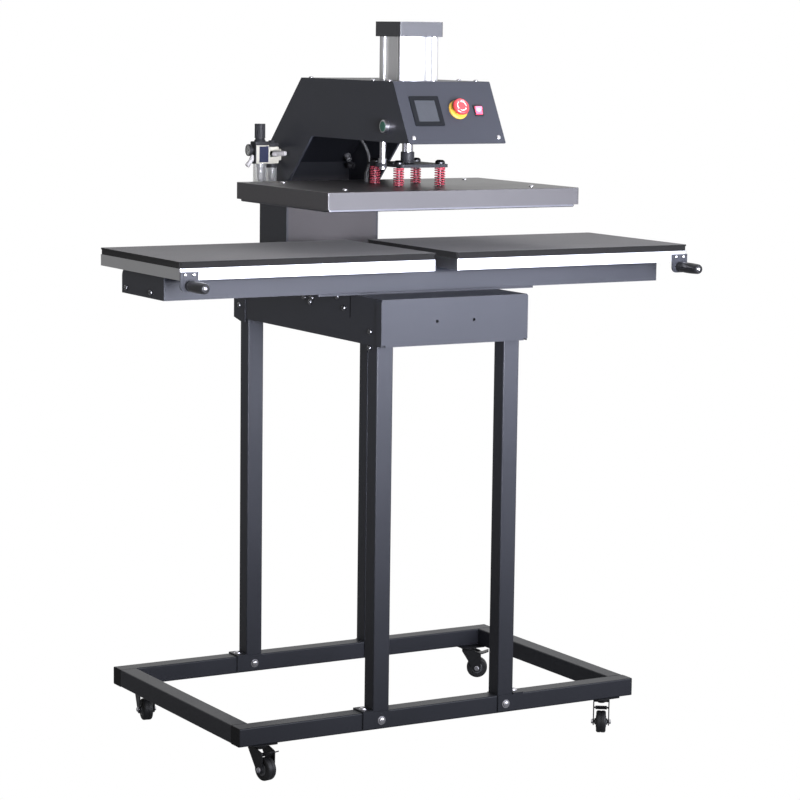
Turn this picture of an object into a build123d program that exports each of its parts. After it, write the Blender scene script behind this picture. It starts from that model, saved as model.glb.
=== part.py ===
"""Pneumatic heat press on a wheeled stand, with two sliding tables.

Millimetres. X runs to the right along the table travel, Y to the back, Z up.
The origin lies on the floor, under the middle of the whole press as it stands.
"""
import os
from math import cos, pi, radians, sin, sqrt, tan

from build123d import *

os.makedirs("parts", exist_ok=True)

# Square tube of the stand
tube_size = 40
tube_wall = 2
tube_corner = 3
base_length = 1000
base_depth = 640
rail_bottom_z = 80
end_cap_flange = 2
end_cap_plug = 14
plug_clearance = 0.15
leg_outer_x = 178.5

# Brackets that tie the legs to the rails
saddle_sheet = 3
saddle_tongue = 25
saddle_drop = 36
stand_bolt_radius = 7
stand_bolt_height = 5
# Share of a bolt head's height that its rounded edge takes
dome_share = 0.8

# Casters
caster_inset_x = 62
caster_inset_y = 30
caster_plate_size = 60
caster_plate_sheet = 3
raceway_radius = 17
raceway_height = 6.7
kingpin_radius = 4
kingpin_head_radius = 8
kingpin_head_height = 3
swivel_gap = 0.3
wheel_radius = 25
wheel_trail = 22
tyre_width = 22
tyre_shoulder = 5
hub_radius = 13
hub_width = 30
axle_radius = 4
running_fit = 0.08
fork_width = 37
fork_sheet = 2.5
fork_boss_radius = 9
fork_back_x = -15
fork_crown_front_x = 12
pedal_pivot_x = 25
pedal_pivot_z = 58
pedal_pin_radius = 2
pedal_boss_radius = 4.2
pedal_width = 26
pedal_sheet = 2.6
pedal_flat = 10
pedal_reach = 50
pedal_tip_z = 68
# Angle of each fork's trail, seen from above, counted from +X
caster_turns = {
    "front_left": -78,
    "front_right": -125,
    "rear_left": -100,
    "rear_right": -32,
}

# Lower frame under the bed
deck_top_z = 1013
deck_sheet = 3
apron_sheet = 2
apron_overhang = 25
apron_half_width = 183
apron_bottom_z = 912
apron_corner = 5
apron_return_front = 23
apron_return_rear = 56
apron_notch_x = 10
apron_notch_z = 4
apron_hole_spacing = 92
apron_hole_radius = 3.5
rear_apron_drop = 7
rear_apron_cut_y = 33
lower_plate_sheet = 2.5
lower_plate_overhang = 10

# Bed plate and linear bearings
press_axis_y = -131.5
bed_plate_half_length = 272
bed_plate_sheet = 4
bearing_travel_x = 180
bearing_length = 80
bearing_width = 48
bearing_spacing_y = 120
guide_rail_width = 20
guide_rail_height = 18
guide_rail_end_gap = 20
bearing_engagement = 9
bearing_clearance = 0.3

# Sliding carriage
carriage_rest_x = -14
table_pitch = 656
table_length = 604
table_depth = 393
table_thickness = 24
table_corner = 4
table_rim = 12
table_pocket = 15
pad_thickness = 14
pad_lip = 3.5
pad_inset = 1.2
pad_corner = 5
channel_length = 1237
channel_front_y = -229
channel_width = 207
channel_height = 51
channel_wall = 3
channel_corner = 15
channel_inner_corner = 12
channel_floor_gap = 0.5
channel_cap_sheet = 3

# Table handles
handle_inset_x = 21
handle_plate_width = 41
handle_plate_height = 41
handle_plate_sheet = 3
handle_plate_overlap = 17
handle_plate_round = 12
handle_axis_below = 11
grip_radius = 12
grip_length = 70
grip_neck_radius = 7
grip_neck_length = 5

# Press frame
hood_half_width = 120
frame_plate_sheet = 5
skin = 2
hood_top_z = 1468
hood_floor_z = 1339
hood_front_low_y = -343
hood_front_top_y = -272
hood_rear_top_y = 139.5
rear_slope = 45
throat_top_y = 88
throat_slope = 44
column_front_y = 206
column_rear_y = 339
cylinder_opening = 104

# Air cylinder
mount_plate_bottom_z = 1373
mount_plate_sheet = 12
mount_plate_front_y = -212
mount_plate_depth = 160
cylinder_cap_size = 108
cylinder_cap_corner = 3
rod_cap_height = 32
head_cap_height = 32
head_cap_bottom_z = 1562
tube_across = 99
tube_lobe_radius = 11
tube_bore_radius = 40
tube_groove = 5
tie_bolt_radius = 7
tie_bolt_depth = 4
piston_clearance = 0.3
piston_thickness = 30
piston_top_gap = 2
rod_radius = 12

# Moving head
cross_plate_top_z = 1288.5
cross_plate_sheet = 7
cross_plate_side_margin = 8
cross_plate_end_margin = 25
cross_plate_corner = 8
coupler_radius = 15
coupler_height = 24.5
coupler_bevel = 1.5
post_beyond_cap = 8.5
post_radius = 7
post_top_z = 1462
post_collar_radius = 9.5
post_collar_height = 10
post_below_plate = 6
ear_radius = 16
bush_radius = 13
bush_length = 28

# Springs and bolts between the cross plate and the platen
bolt_spacing = 104
shoulder_radius = 5
shoulder_clearance = 0.3
bolt_head_radius = 11
bolt_head_height = 8
bolt_head_gap = 0.3
spring_outer_diameter = 24
spring_wire = 3
spring_turns = 6.5
spring_end_bend = 3.3

# Heated platen
platen_length = 624
platen_depth = 420
platen_top_z = 1240.5
platen_cover_height = 36.5
platen_cover_wall = 2
platen_corner = 3
heating_plate_inset = 7
heating_plate_drop = 5.5
heating_plate_thickness = 24
heating_plate_bevel = 1.5
gland_x = -37.5
gland_y = -15
gland_height = 22
gland_radius = 5
cable_radius = 3.2
lead_rise = 178
lead_sway_x = 17
lead_sway_y = 22
# Where the heater lead passes, as shares of its sway and its rise
lead_shares = (
    (0, 0, 0),
    (0.35, -0.05, 0.1),
    (0.45, 0.05, 0.2),
    (0.1, 0.25, 0.31),
    (-0.45, 0.6, 0.42),
    (-0.85, 0.85, 0.54),
    (-1, 1, 0.69),
    (-0.95, 1.05, 0.84),
    (-1, 1, 1),
)

# Controls on the sloping panel, placed from the panel's middle
display_x = -56.5
display_up = 3
display_width = 72
display_height = 70
display_corner = 2
display_rim = 4.5
display_flange = 2
display_window = 50
display_recess = 1
display_depth = 18
estop_x = 21.3
estop_up = 6
estop_collar_radius = 22
estop_collar_height = 5
estop_collar_bevel = 2
estop_barrel_radius = 11
estop_barrel_length = 22
estop_stem_radius = 7
estop_travel = 4
estop_gap = 4.5
estop_head_radius = 19
estop_head_height = 11
estop_head_round = 4
twist_pin_radius = 4
twist_pin_length = 7
switch_x = 72
switch_up = 4
switch_width = 22
switch_height = 26
switch_corner = 1.5
switch_rim = 1.8
switch_flange = 2.5
switch_rocker_width = 16
switch_rocker_radius = 9.5
switch_rocker_room = 2
switch_body_depth = 18
switch_tilt = 9
switch_valley = 3
switch_valley_slope = 12
switch_clearance = 0.35
panel_cutout_clearance = 0.2

# Start button on the left side
start_y = -246
start_z = 1372.5
start_bezel_radius = 14
start_bezel_height = 9.5
start_bezel_bevel = 1
start_bezel_end = 2
start_barrel_radius = 12.5
start_barrel_length = 22
start_cap_radius = 11
start_cap_proud = 0.5
start_cap_round = 1.2
start_back_gap = 4

# Air preparation unit beside the left side plate
regulator_left_x = -188
regulator_width = 36
regulator_depth = 28
regulator_middle_y = 243
regulator_bottom_z = 1271
regulator_height = 44
lubricator_width = 25
lubricator_depth = 24
lubricator_height = 40
air_body_corner = 3
unit_bracket_depth = 20
unit_bracket_height = 26
unit_bracket_corner = 2
bonnet_radius = 13
bonnet_height = 13
bonnet_taper = 12
lubricator_cap_radius = 11
lubricator_cap_taper = 15
knob_radius = 12.2
knob_height = 33
knob_gap = 0.3
knob_stem_radius = 4
knob_stem_length = 18
knob_flutes = 12
knob_flute_radius = 1.2
bowl_radius = 15.2
bowl_height = 52
small_bowl_radius = 12
small_bowl_height = 44
bowl_ring_radius = 12.9
bowl_ring_height = 9
bowl_round = 6
bowl_wall = 2
gauge_radius = 13.5
gauge_length = 10
gauge_neck_radius = 5
gauge_neck_length = 3
gauge_above = 31
inlet_radius = 6
inlet_bore_radius = 4
inlet_bore_depth = 14
inlet_length = 24
inlet_above = 14
# Ways the two fittings point
inlet_direction = (-0.6, 0, -0.8)
outlet_direction = (0.3, -0.95, 0.08)
outlet_radius = 6
outlet_length = 36
outlet_above = 22
fitting_root = 5

# Values worked out from the ones above
rail_top_z = rail_bottom_z + tube_size
rail_axis_z = rail_bottom_z + tube_size / 2
rail_y = base_depth / 2 - tube_size / 2
side_rail_x = base_length / 2 - tube_size / 2
leg_x = leg_outer_x - tube_size / 2
deck_bottom_z = deck_top_z - deck_sheet
apron_front_y = -base_depth / 2 - apron_overhang
rear_apron_y = -apron_front_y
rear_apron_bottom_z = apron_bottom_z - rear_apron_drop
lower_plate_half_depth = base_depth / 2 + lower_plate_overhang
lower_plate_outer_x = leg_outer_x + lower_plate_sheet
caster_x = base_length / 2 - caster_inset_x
caster_y = base_depth / 2 - caster_inset_y
caster_plate_bottom_z = rail_bottom_z - caster_plate_sheet
raceway_bottom_z = caster_plate_bottom_z - raceway_height
crown_top_z = raceway_bottom_z - swivel_gap
crown_bottom_z = crown_top_z - fork_sheet

bed_top_z = deck_top_z + bed_plate_sheet
channel_bottom_z = bed_top_z + channel_floor_gap
channel_top_z = channel_bottom_z + channel_height
channel_middle_y = channel_front_y + channel_width / 2
guide_rail_top_z = channel_top_z - channel_wall
guide_rail_bottom_z = guide_rail_top_z - guide_rail_height
table_top_z = channel_top_z + table_thickness
pad_top_z = table_top_z + pad_thickness
table_front_y = press_axis_y - table_depth / 2

panel_rise = hood_top_z - hood_floor_z
panel_run = hood_front_top_y - hood_front_low_y
panel_length = sqrt(panel_rise**2 + panel_run**2)
panel_plane = Plane(
    origin=(0, (hood_front_low_y + hood_front_top_y) / 2, (hood_floor_z + hood_top_z) / 2),
    x_dir=(1, 0, 0),
    z_dir=(0, -panel_rise, panel_run),
)
plate_top_z = hood_top_z - skin
plate_inner_x = hood_half_width - frame_plate_sheet
throat_low_z = hood_floor_z - (column_front_y - throat_top_y) * tan(radians(throat_slope))

mount_plate_top_z = mount_plate_bottom_z + mount_plate_sheet
rod_cap_top_z = mount_plate_top_z + rod_cap_height
piston_top_z = head_cap_bottom_z - piston_top_gap
cross_plate_bottom_z = cross_plate_top_z - cross_plate_sheet
cross_plate_width = bolt_spacing + 2 * cross_plate_side_margin
cross_plate_depth = bolt_spacing + 2 * cross_plate_end_margin
post_x = -cylinder_cap_size / 2 - post_beyond_cap
coupler_top_z = cross_plate_top_z + coupler_height
heating_plate_bottom_z = platen_top_z - platen_cover_height - heating_plate_drop
heating_plate_top_z = heating_plate_bottom_z + heating_plate_thickness
bolt_head_bottom_z = cross_plate_top_z + bolt_head_gap
display_housing_width = display_width - 2 * display_rim
display_housing_height = display_height - 2 * display_rim
switch_housing_width = switch_width - 2 * switch_rim
switch_housing_height = switch_height - 2 * switch_rim
knob_bottom_z = regulator_bottom_z + regulator_height + bonnet_height + knob_gap


def front_slope_y(z, inset):
    """Y of the hood's sloping front at a height, moved inwards by a thickness."""
    return hood_front_low_y + (z - hood_floor_z) * panel_run / panel_rise + inset * panel_length / panel_rise


def rear_slope_y(z, inset):
    """Y of the hood's sloping back at a height, moved inwards by a thickness."""
    run = (hood_top_z - z) / tan(radians(rear_slope))
    return hood_rear_top_y + run - inset / sin(radians(rear_slope))


def rear_slope_z(y, inset):
    """Height of the hood's sloping back at a depth, moved inwards by a thickness."""
    drop = (y + inset / sin(radians(rear_slope)) - hood_rear_top_y) * tan(radians(rear_slope))
    return hood_top_z - drop


# The model is drawn about the middle of the base, then moved over the middle of the whole press
overall_middle_x = carriage_rest_x
grips_front_y = table_front_y - handle_plate_sheet - grip_neck_length - grip_length
overall_middle_y = (grips_front_y + rear_apron_y) / 2
over_the_origin = Pos(-overall_middle_x, -overall_middle_y, 0)


def save(piece, name):
    """Name a finished piece, move it to its final place and write it to its own file."""
    placed = over_the_origin * piece.part
    placed.label = name
    export_step(placed, f"parts/{name}.step")


def square_tube(start, direction, length):
    """A length of square steel tube, open at both ends."""
    bore = tube_size - 2 * tube_wall
    with BuildPart() as tube:
        with BuildSketch(Plane(origin=start, z_dir=direction)):
            RectangleRounded(tube_size, tube_size, tube_corner)
            RectangleRounded(bore, bore, tube_corner - tube_wall, mode=Mode.SUBTRACT)
        extrude(amount=length)
    return tube.part


# Base rails: the long ones run the whole width, the side ones are butted between them
long_rail_length = base_length - 2 * end_cap_flange
side_rail_length = base_depth - 2 * tube_size
with BuildPart() as long_rails:
    for side in (-1, 1):
        add(square_tube((-long_rail_length / 2, side * rail_y, rail_axis_z), (1, 0, 0), long_rail_length))
save(long_rails, "long_rails")

with BuildPart() as side_rails:
    for side in (-1, 1):
        add(square_tube((side * side_rail_x, -side_rail_length / 2, rail_axis_z), (0, 1, 0), side_rail_length))
save(side_rails, "side_rails")

# Plastic caps in the open ends of the long rails
with BuildPart() as rail_end_caps:
    plug_size = tube_size - 2 * tube_wall - 2 * plug_clearance
    for end in (-1, 1):
        for side in (-1, 1):
            tube_end = Plane(origin=(end * long_rail_length / 2, side * rail_y, rail_axis_z), z_dir=(end, 0, 0))
            with BuildSketch(tube_end):
                RectangleRounded(tube_size, tube_size, tube_corner)
            extrude(amount=end_cap_flange)
            with BuildSketch(tube_end):
                RectangleRounded(plug_size, plug_size, tube_corner - tube_wall)
            extrude(amount=-end_cap_plug)
save(rail_end_caps, "rail_end_caps")

# Four legs from the rails up to the deck
with BuildPart() as legs:
    for side_x in (-1, 1):
        for side_y in (-1, 1):
            add(square_tube((side_x * leg_x, side_y * rail_y, rail_top_z), (0, 0, 1), deck_bottom_z - rail_top_z))
save(legs, "legs")


def saddle(side_x, side_y):
    """Bent strap over a rail: two flaps beside the leg's foot and a tongue beyond it."""
    outside = tube_size / 2 + saddle_sheet
    inside = tube_size / 2
    strap_length = tube_size + saddle_tongue
    strap_start_x = leg_outer_x - tube_size
    if side_x < 0:
        strap_start_x = -leg_outer_x - saddle_tongue
    strap_plane = Plane(origin=(strap_start_x, side_y * rail_y, rail_top_z), x_dir=(0, 1, 0), z_dir=(1, 0, 0))
    with BuildPart() as strap:
        with BuildSketch(strap_plane):
            with BuildLine():
                Polyline(
                    (-outside, -saddle_drop),
                    (-outside, saddle_sheet),
                    (outside, saddle_sheet),
                    (outside, -saddle_drop),
                    (inside, -saddle_drop),
                    (inside, 0),
                    (-inside, 0),
                    (-inside, -saddle_drop),
                    close=True,
                )
            make_face()
        extrude(amount=strap_length)
        with BuildSketch(Plane.XY.offset(rail_top_z)):
            with Locations((side_x * leg_x, side_y * rail_y)):
                Rectangle(tube_size, 2 * outside)
        extrude(amount=saddle_sheet, mode=Mode.SUBTRACT)
    return strap.part


with BuildPart() as foot_brackets:
    for side_x in (-1, 1):
        for side_y in (-1, 1):
            add(saddle(side_x, side_y))
save(foot_brackets, "foot_brackets")


def domed_bolt(centre, direction, radius, height):
    """A bolt head with a rounded crown."""
    with BuildPart() as head:
        with BuildSketch(Plane(origin=centre, z_dir=direction)):
            Circle(radius)
        extrude(amount=height)
        crown = head.edges().filter_by(GeomType.CIRCLE).sort_by(lambda edge: edge.center().dot(Vector(direction)))
        fillet(crown[-1], height * dome_share)
    return head.part


# Each bracket is held by a bolt through its forward flap and one through its tongue
with BuildPart() as stand_bolts:
    for side_x in (-1, 1):
        for side_y in (-1, 1):
            if side_y < 0:
                flap_y = -rail_y - tube_size / 2 - saddle_sheet
            else:
                flap_y = rail_y - tube_size / 2 - saddle_sheet
            flap_place = (side_x * leg_x, flap_y, rail_axis_z)
            tongue_x = side_x * (leg_outer_x + saddle_tongue / 2)
            tongue_place = (tongue_x, side_y * rail_y, rail_top_z + saddle_sheet)
            add(domed_bolt(flap_place, (0, -1, 0), stand_bolt_radius, stand_bolt_height))
            add(domed_bolt(tongue_place, (0, 0, 1), stand_bolt_radius, stand_bolt_height))
save(stand_bolts, "stand_bolts")

# Caster top plates, each with its raceway and kingpin
with BuildPart() as caster_plates:
    for side_x in (-1, 1):
        for side_y in (-1, 1):
            place = Location((side_x * caster_x, side_y * caster_y, 0))
            with BuildSketch(Plane.XY.offset(caster_plate_bottom_z).move(place)):
                RectangleRounded(caster_plate_size, caster_plate_size, tube_corner)
            extrude(amount=caster_plate_sheet)
            with BuildSketch(Plane.XY.offset(caster_plate_bottom_z).move(place)):
                Circle(raceway_radius)
            extrude(amount=-raceway_height)
            with BuildSketch(Plane.XY.offset(raceway_bottom_z).move(place)):
                Circle(kingpin_radius)
            extrude(amount=crown_bottom_z - swivel_gap - raceway_bottom_z)
            with BuildSketch(Plane.XY.offset(crown_bottom_z - swivel_gap).move(place)):
                Circle(kingpin_head_radius)
            extrude(amount=-kingpin_head_height)
save(caster_plates, "caster_plates")


def caster_fork():
    """Fork with two cheeks, its wheel axle and the pedal's pin, on a swivel axis at X 0, Y 0."""
    crown_middle_x = (fork_back_x + fork_crown_front_x) / 2
    crown_length = fork_crown_front_x - fork_back_x
    with BuildPart() as fork:
        with BuildSketch(Plane.XZ.offset(-fork_width / 2)):
            with Locations((crown_middle_x, crown_top_z - fork_sheet / 2)):
                Rectangle(crown_length, fork_sheet)
            with Locations((wheel_trail, wheel_radius)):
                Circle(fork_boss_radius)
            with Locations((pedal_pivot_x, pedal_pivot_z)):
                Circle(pedal_boss_radius + fork_sheet)
            make_hull()
        extrude(amount=fork_width)
        with BuildSketch(Plane.XZ.offset(-fork_width / 2 + fork_sheet)):
            with Locations((wheel_trail, crown_bottom_z)):
                Rectangle(4 * wheel_radius, 4 * wheel_radius, align=(Align.CENTER, Align.MAX))
            with Locations((fork_crown_front_x, crown_bottom_z)):
                Rectangle(2 * wheel_radius, 2 * wheel_radius, align=(Align.MIN, Align.CENTER))
        extrude(amount=fork_width - 2 * fork_sheet, mode=Mode.SUBTRACT)
        with BuildSketch(Plane.XY.offset(crown_bottom_z)):
            Circle(kingpin_radius + running_fit)
        extrude(amount=fork_sheet, mode=Mode.SUBTRACT)
        with BuildSketch(Plane.XZ.offset(-fork_width / 2 + fork_sheet)):
            with Locations((wheel_trail, wheel_radius)):
                Circle(axle_radius)
            with Locations((pedal_pivot_x, pedal_pivot_z)):
                Circle(pedal_pin_radius)
        extrude(amount=fork_width - 2 * fork_sheet)
    return fork.part


def caster_wheel():
    """Tyre with rounded shoulders on a hub that is wider than the tyre."""
    with BuildPart() as wheel:
        with BuildSketch(Plane.XZ.offset(-tyre_width / 2)):
            with Locations((wheel_trail, wheel_radius)):
                Circle(wheel_radius)
        extrude(amount=tyre_width)
        fillet(wheel.edges().filter_by(GeomType.CIRCLE), tyre_shoulder)
        with BuildSketch(Plane.XZ.offset(-hub_width / 2)):
            with Locations((wheel_trail, wheel_radius)):
                Circle(hub_radius)
        extrude(amount=hub_width)
        with BuildSketch(Plane.XZ.offset(-hub_width / 2)):
            with Locations((wheel_trail, wheel_radius)):
                Circle(axle_radius + running_fit)
        extrude(amount=hub_width, mode=Mode.SUBTRACT)
    return wheel.part


def brake_pedal():
    """Bent foot lever on its boss, above the wheel."""
    with BuildPart() as pedal:
        with BuildSketch(Plane.XZ.offset(-pedal_width / 2)):
            with BuildLine():
                Polyline(
                    (pedal_pivot_x, pedal_pivot_z + pedal_boss_radius - pedal_sheet),
                    (pedal_pivot_x + pedal_flat, pedal_pivot_z + pedal_boss_radius - pedal_sheet),
                    (pedal_reach, pedal_tip_z - pedal_sheet),
                    (pedal_reach, pedal_tip_z),
                    (pedal_pivot_x + pedal_flat, pedal_pivot_z + pedal_boss_radius),
                    (pedal_pivot_x, pedal_pivot_z + pedal_boss_radius),
                    close=True,
                )
            make_face()
            with Locations((pedal_pivot_x, pedal_pivot_z)):
                Circle(pedal_boss_radius)
                Circle(pedal_pin_radius + running_fit, mode=Mode.SUBTRACT)
        extrude(amount=pedal_width)
    return pedal.part


for corner, turn in caster_turns.items():
    corner_x = caster_x if corner.endswith("right") else -caster_x
    corner_y = caster_y if corner.startswith("rear") else -caster_y
    corner_place = Pos(corner_x, corner_y, 0) * Rot(0, 0, turn)
    with BuildPart() as fork_piece:
        add(corner_place * caster_fork())
    save(fork_piece, f"{corner}_caster_fork")
    with BuildPart() as wheel_piece:
        add(corner_place * caster_wheel())
    save(wheel_piece, f"{corner}_caster_wheel")
    with BuildPart() as pedal_piece:
        add(corner_place * brake_pedal())
    save(pedal_piece, f"{corner}_brake_pedal")

# Side plates of the lower frame, outside the legs and under the deck
with BuildPart() as lower_side_plates:
    for side in (-1, 1):
        with BuildSketch(Plane.YZ.offset(side * leg_outer_x)):
            with Locations((0, (apron_bottom_z + deck_bottom_z) / 2)):
                Rectangle(2 * lower_plate_half_depth, deck_bottom_z - apron_bottom_z)
        extrude(amount=side * lower_plate_sheet)
save(lower_side_plates, "lower_side_plates")


def apron(face_y, inward, return_depth, bottom_z):
    """Bent cover across one end of the lower frame, with a return along each side."""
    middle_y = face_y + inward * return_depth / 2
    inner_face_y = face_y + inward * apron_sheet
    with BuildPart() as cover:
        with BuildSketch(Plane.XY.offset(bottom_z)):
            with Locations((0, middle_y)):
                Rectangle(2 * apron_half_width, return_depth)
        extrude(amount=deck_top_z - bottom_z)
        fillet(cover.edges().filter_by(Axis.Y).group_by(Axis.Z)[-1], apron_corner)
        with BuildSketch(Plane.XY.offset(bottom_z)):
            with Locations((0, inner_face_y + inward * return_depth / 2)):
                Rectangle(2 * lower_plate_outer_x, return_depth)
        extrude(amount=deck_top_z - bottom_z, mode=Mode.SUBTRACT)
    return cover.part


# Front apron, with its two tapped holes and a notch at each lower corner
with BuildPart() as front_apron:
    add(apron(apron_front_y, 1, apron_return_front, apron_bottom_z))
    with BuildSketch(Plane.XZ.offset(-apron_front_y)):
        with Locations((0, (apron_bottom_z + deck_top_z) / 2)):
            with GridLocations(apron_hole_spacing, 0, 2, 1):
                Circle(apron_hole_radius)
        for side in (-1, 1):
            with Locations((side * apron_half_width, apron_bottom_z)):
                Rectangle(2 * apron_notch_x, 2 * apron_notch_z)
    extrude(amount=-apron_sheet, mode=Mode.SUBTRACT)
save(front_apron, "front_apron")

# Rear apron, deeper and lower than the front one, cut off at a slant along its lower rear edge
with BuildPart() as rear_apron:
    add(apron(rear_apron_y, -1, apron_return_rear, rear_apron_bottom_z))
    with BuildSketch(Plane.YZ.offset(-apron_half_width)):
        with BuildLine():
            Polyline(
                (rear_apron_y, rear_apron_bottom_z),
                (rear_apron_y, apron_bottom_z),
                (rear_apron_y - rear_apron_cut_y, rear_apron_bottom_z),
                close=True,
            )
        make_face()
    extrude(amount=2 * apron_half_width, mode=Mode.SUBTRACT)
save(rear_apron, "rear_apron")

# Deck across the lower frame
with BuildPart() as deck_plate:
    with BuildSketch(Plane.XY.offset(deck_bottom_z)):
        Rectangle(2 * lower_plate_outer_x, 2 * (rear_apron_y - apron_sheet))
    extrude(amount=deck_sheet)
save(deck_plate, "deck_plate")

# Bed plate that carries the bearings
with BuildPart() as bed_plate:
    with BuildSketch(Plane.XY.offset(deck_top_z)):
        with Locations((0, channel_middle_y)):
            RectangleRounded(2 * bed_plate_half_length, channel_width, pad_corner)
    extrude(amount=bed_plate_sheet)
save(bed_plate, "bed_plate")

# Four bearing blocks, each with a slot for its rail
bearing_top_z = guide_rail_bottom_z + bearing_engagement
slot_width = guide_rail_width + 2 * bearing_clearance
with BuildPart() as bearing_blocks:
    for middle_x in (-bearing_travel_x, bearing_travel_x):
        for side in (-1, 1):
            middle_y = channel_middle_y + side * bearing_spacing_y / 2
            block_end = Plane.YZ.offset(middle_x - bearing_length / 2)
            with BuildSketch(block_end):
                with Locations((middle_y, (bed_top_z + bearing_top_z) / 2)):
                    Rectangle(bearing_width, bearing_top_z - bed_top_z)
                with Locations((middle_y, guide_rail_bottom_z - bearing_clearance)):
                    Rectangle(
                        slot_width,
                        bearing_engagement + 2 * bearing_clearance,
                        align=(Align.CENTER, Align.MIN),
                        mode=Mode.SUBTRACT,
                    )
            extrude(amount=bearing_length)
save(bearing_blocks, "bearing_blocks")

# Guide rails under the channel's top
with BuildPart() as guide_rails:
    rail_length = channel_length - 2 * channel_cap_sheet - 2 * guide_rail_end_gap
    for side in (-1, 1):
        with BuildSketch(Plane.YZ.offset(carriage_rest_x - rail_length / 2)):
            with Locations((channel_middle_y + side * bearing_spacing_y / 2, guide_rail_top_z)):
                Rectangle(guide_rail_width, guide_rail_height, align=(Align.CENTER, Align.MAX))
        extrude(amount=rail_length)
save(guide_rails, "guide_rails")


# Carriage channel: a folded sheet, open below, that both tables stand on
channel_start_x = carriage_rest_x - channel_length / 2 + channel_cap_sheet
channel_inner_length = channel_length - 2 * channel_cap_sheet
with BuildPart() as carriage_channel:
    with BuildSketch(Plane.YZ.offset(channel_start_x)):
        with Locations((channel_middle_y, channel_bottom_z)):
            Rectangle(channel_width, channel_height, align=(Align.CENTER, Align.MIN))
    extrude(amount=channel_inner_length)
    fillet(carriage_channel.edges().filter_by(Axis.X).group_by(Axis.Z)[-1], channel_corner)
    with BuildSketch(Plane.YZ.offset(channel_start_x)) as channel_bore:
        with Locations((channel_middle_y, channel_bottom_z)):
            Rectangle(
                channel_width - 2 * channel_wall,
                channel_height - channel_wall,
                align=(Align.CENTER, Align.MIN),
            )
        fillet(channel_bore.vertices().group_by(Axis.Z)[-1], channel_inner_corner)
    extrude(amount=channel_inner_length, mode=Mode.SUBTRACT)
save(carriage_channel, "carriage_channel")

# Plates that close the channel's ends, each with two screws
with BuildPart() as channel_end_caps:
    for end in (-1, 1):
        cap_x = carriage_rest_x + end * (channel_length / 2 - channel_cap_sheet)
        with BuildSketch(Plane.YZ.offset(cap_x)) as cap_face:
            with Locations((channel_middle_y, channel_bottom_z)):
                Rectangle(channel_width, channel_height, align=(Align.CENTER, Align.MIN))
            fillet(cap_face.vertices().group_by(Axis.Y)[-1].sort_by(Axis.Y)[0], channel_corner)
        extrude(amount=end * channel_cap_sheet)
save(channel_end_caps, "channel_end_caps")


table_places = (carriage_rest_x - table_pitch / 2, carriage_rest_x + table_pitch / 2)
pocket_length = table_length - 2 * table_rim
front_pocket_y = table_front_y + table_rim
front_pocket_depth = channel_front_y - front_pocket_y
rear_pocket_y = channel_front_y + channel_width
rear_pocket_depth = table_front_y + table_depth - table_rim - rear_pocket_y

# Aluminium tables: each a plate with a rim, solid where it lies on the channel
with BuildPart() as tables:
    for middle_x in table_places:
        with BuildSketch(Plane.XY.offset(channel_top_z)):
            with Locations((middle_x, press_axis_y)):
                RectangleRounded(table_length, table_depth, table_corner)
        extrude(amount=table_thickness)
        with BuildSketch(Plane.XY.offset(channel_top_z)):
            with Locations((middle_x, front_pocket_y + front_pocket_depth / 2)):
                RectangleRounded(pocket_length, front_pocket_depth, table_corner)
            with Locations((middle_x, rear_pocket_y + rear_pocket_depth / 2)):
                RectangleRounded(pocket_length, rear_pocket_depth, table_corner)
        extrude(amount=table_pocket, mode=Mode.SUBTRACT)
save(tables, "tables")

# Rubber pads on the tables, each with a thin upper layer that overhangs a little
with BuildPart() as table_pads:
    for middle_x in table_places:
        with BuildSketch(Plane.XY.offset(table_top_z)):
            with Locations((middle_x, press_axis_y)):
                RectangleRounded(table_length - 2 * pad_inset, table_depth - 2 * pad_inset, pad_corner)
        extrude(amount=pad_thickness - pad_lip)
        with BuildSketch(Plane.XY.offset(pad_top_z - pad_lip)):
            with Locations((middle_x, press_axis_y)):
                RectangleRounded(table_length, table_depth, pad_corner)
        extrude(amount=pad_lip)
save(table_pads, "table_pads")

# Handle brackets hang from the tables' front edge near their outer corners
handle_places = (
    table_places[0] - table_length / 2 + handle_inset_x,
    table_places[1] + table_length / 2 - handle_inset_x,
)
handle_plate_top_z = channel_top_z + handle_plate_overlap
handle_axis_z = channel_top_z - handle_axis_below
with BuildPart() as handle_brackets:
    for middle_x in handle_places:
        with BuildSketch(Plane.XZ.offset(-table_front_y)) as bracket_face:
            with Locations((middle_x, handle_plate_top_z)):
                Rectangle(handle_plate_width, handle_plate_height, align=(Align.CENTER, Align.MAX))
            fillet(bracket_face.vertices().group_by(Axis.Y)[0], handle_plate_round)
        extrude(amount=handle_plate_sheet)
save(handle_brackets, "handle_brackets")

# Round grips that stand out from the brackets
grip_start_y = table_front_y - handle_plate_sheet
with BuildPart() as handle_grips:
    for middle_x in handle_places:
        with BuildSketch(Plane(origin=(middle_x, grip_start_y, handle_axis_z), x_dir=(1, 0, 0), z_dir=(0, -1, 0))):
            Circle(grip_neck_radius)
        extrude(amount=grip_neck_length)
        with BuildSketch(Plane(origin=(middle_x, grip_start_y - grip_neck_length, handle_axis_z),
                               x_dir=(1, 0, 0), z_dir=(0, -1, 0))):
            Circle(grip_radius)
        extrude(amount=grip_length)
    rims = handle_grips.edges().filter_by(GeomType.CIRCLE).group_by(Axis.Y)
    fillet(rims[0], grip_radius / 2)
save(handle_grips, "handle_grips")


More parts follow.
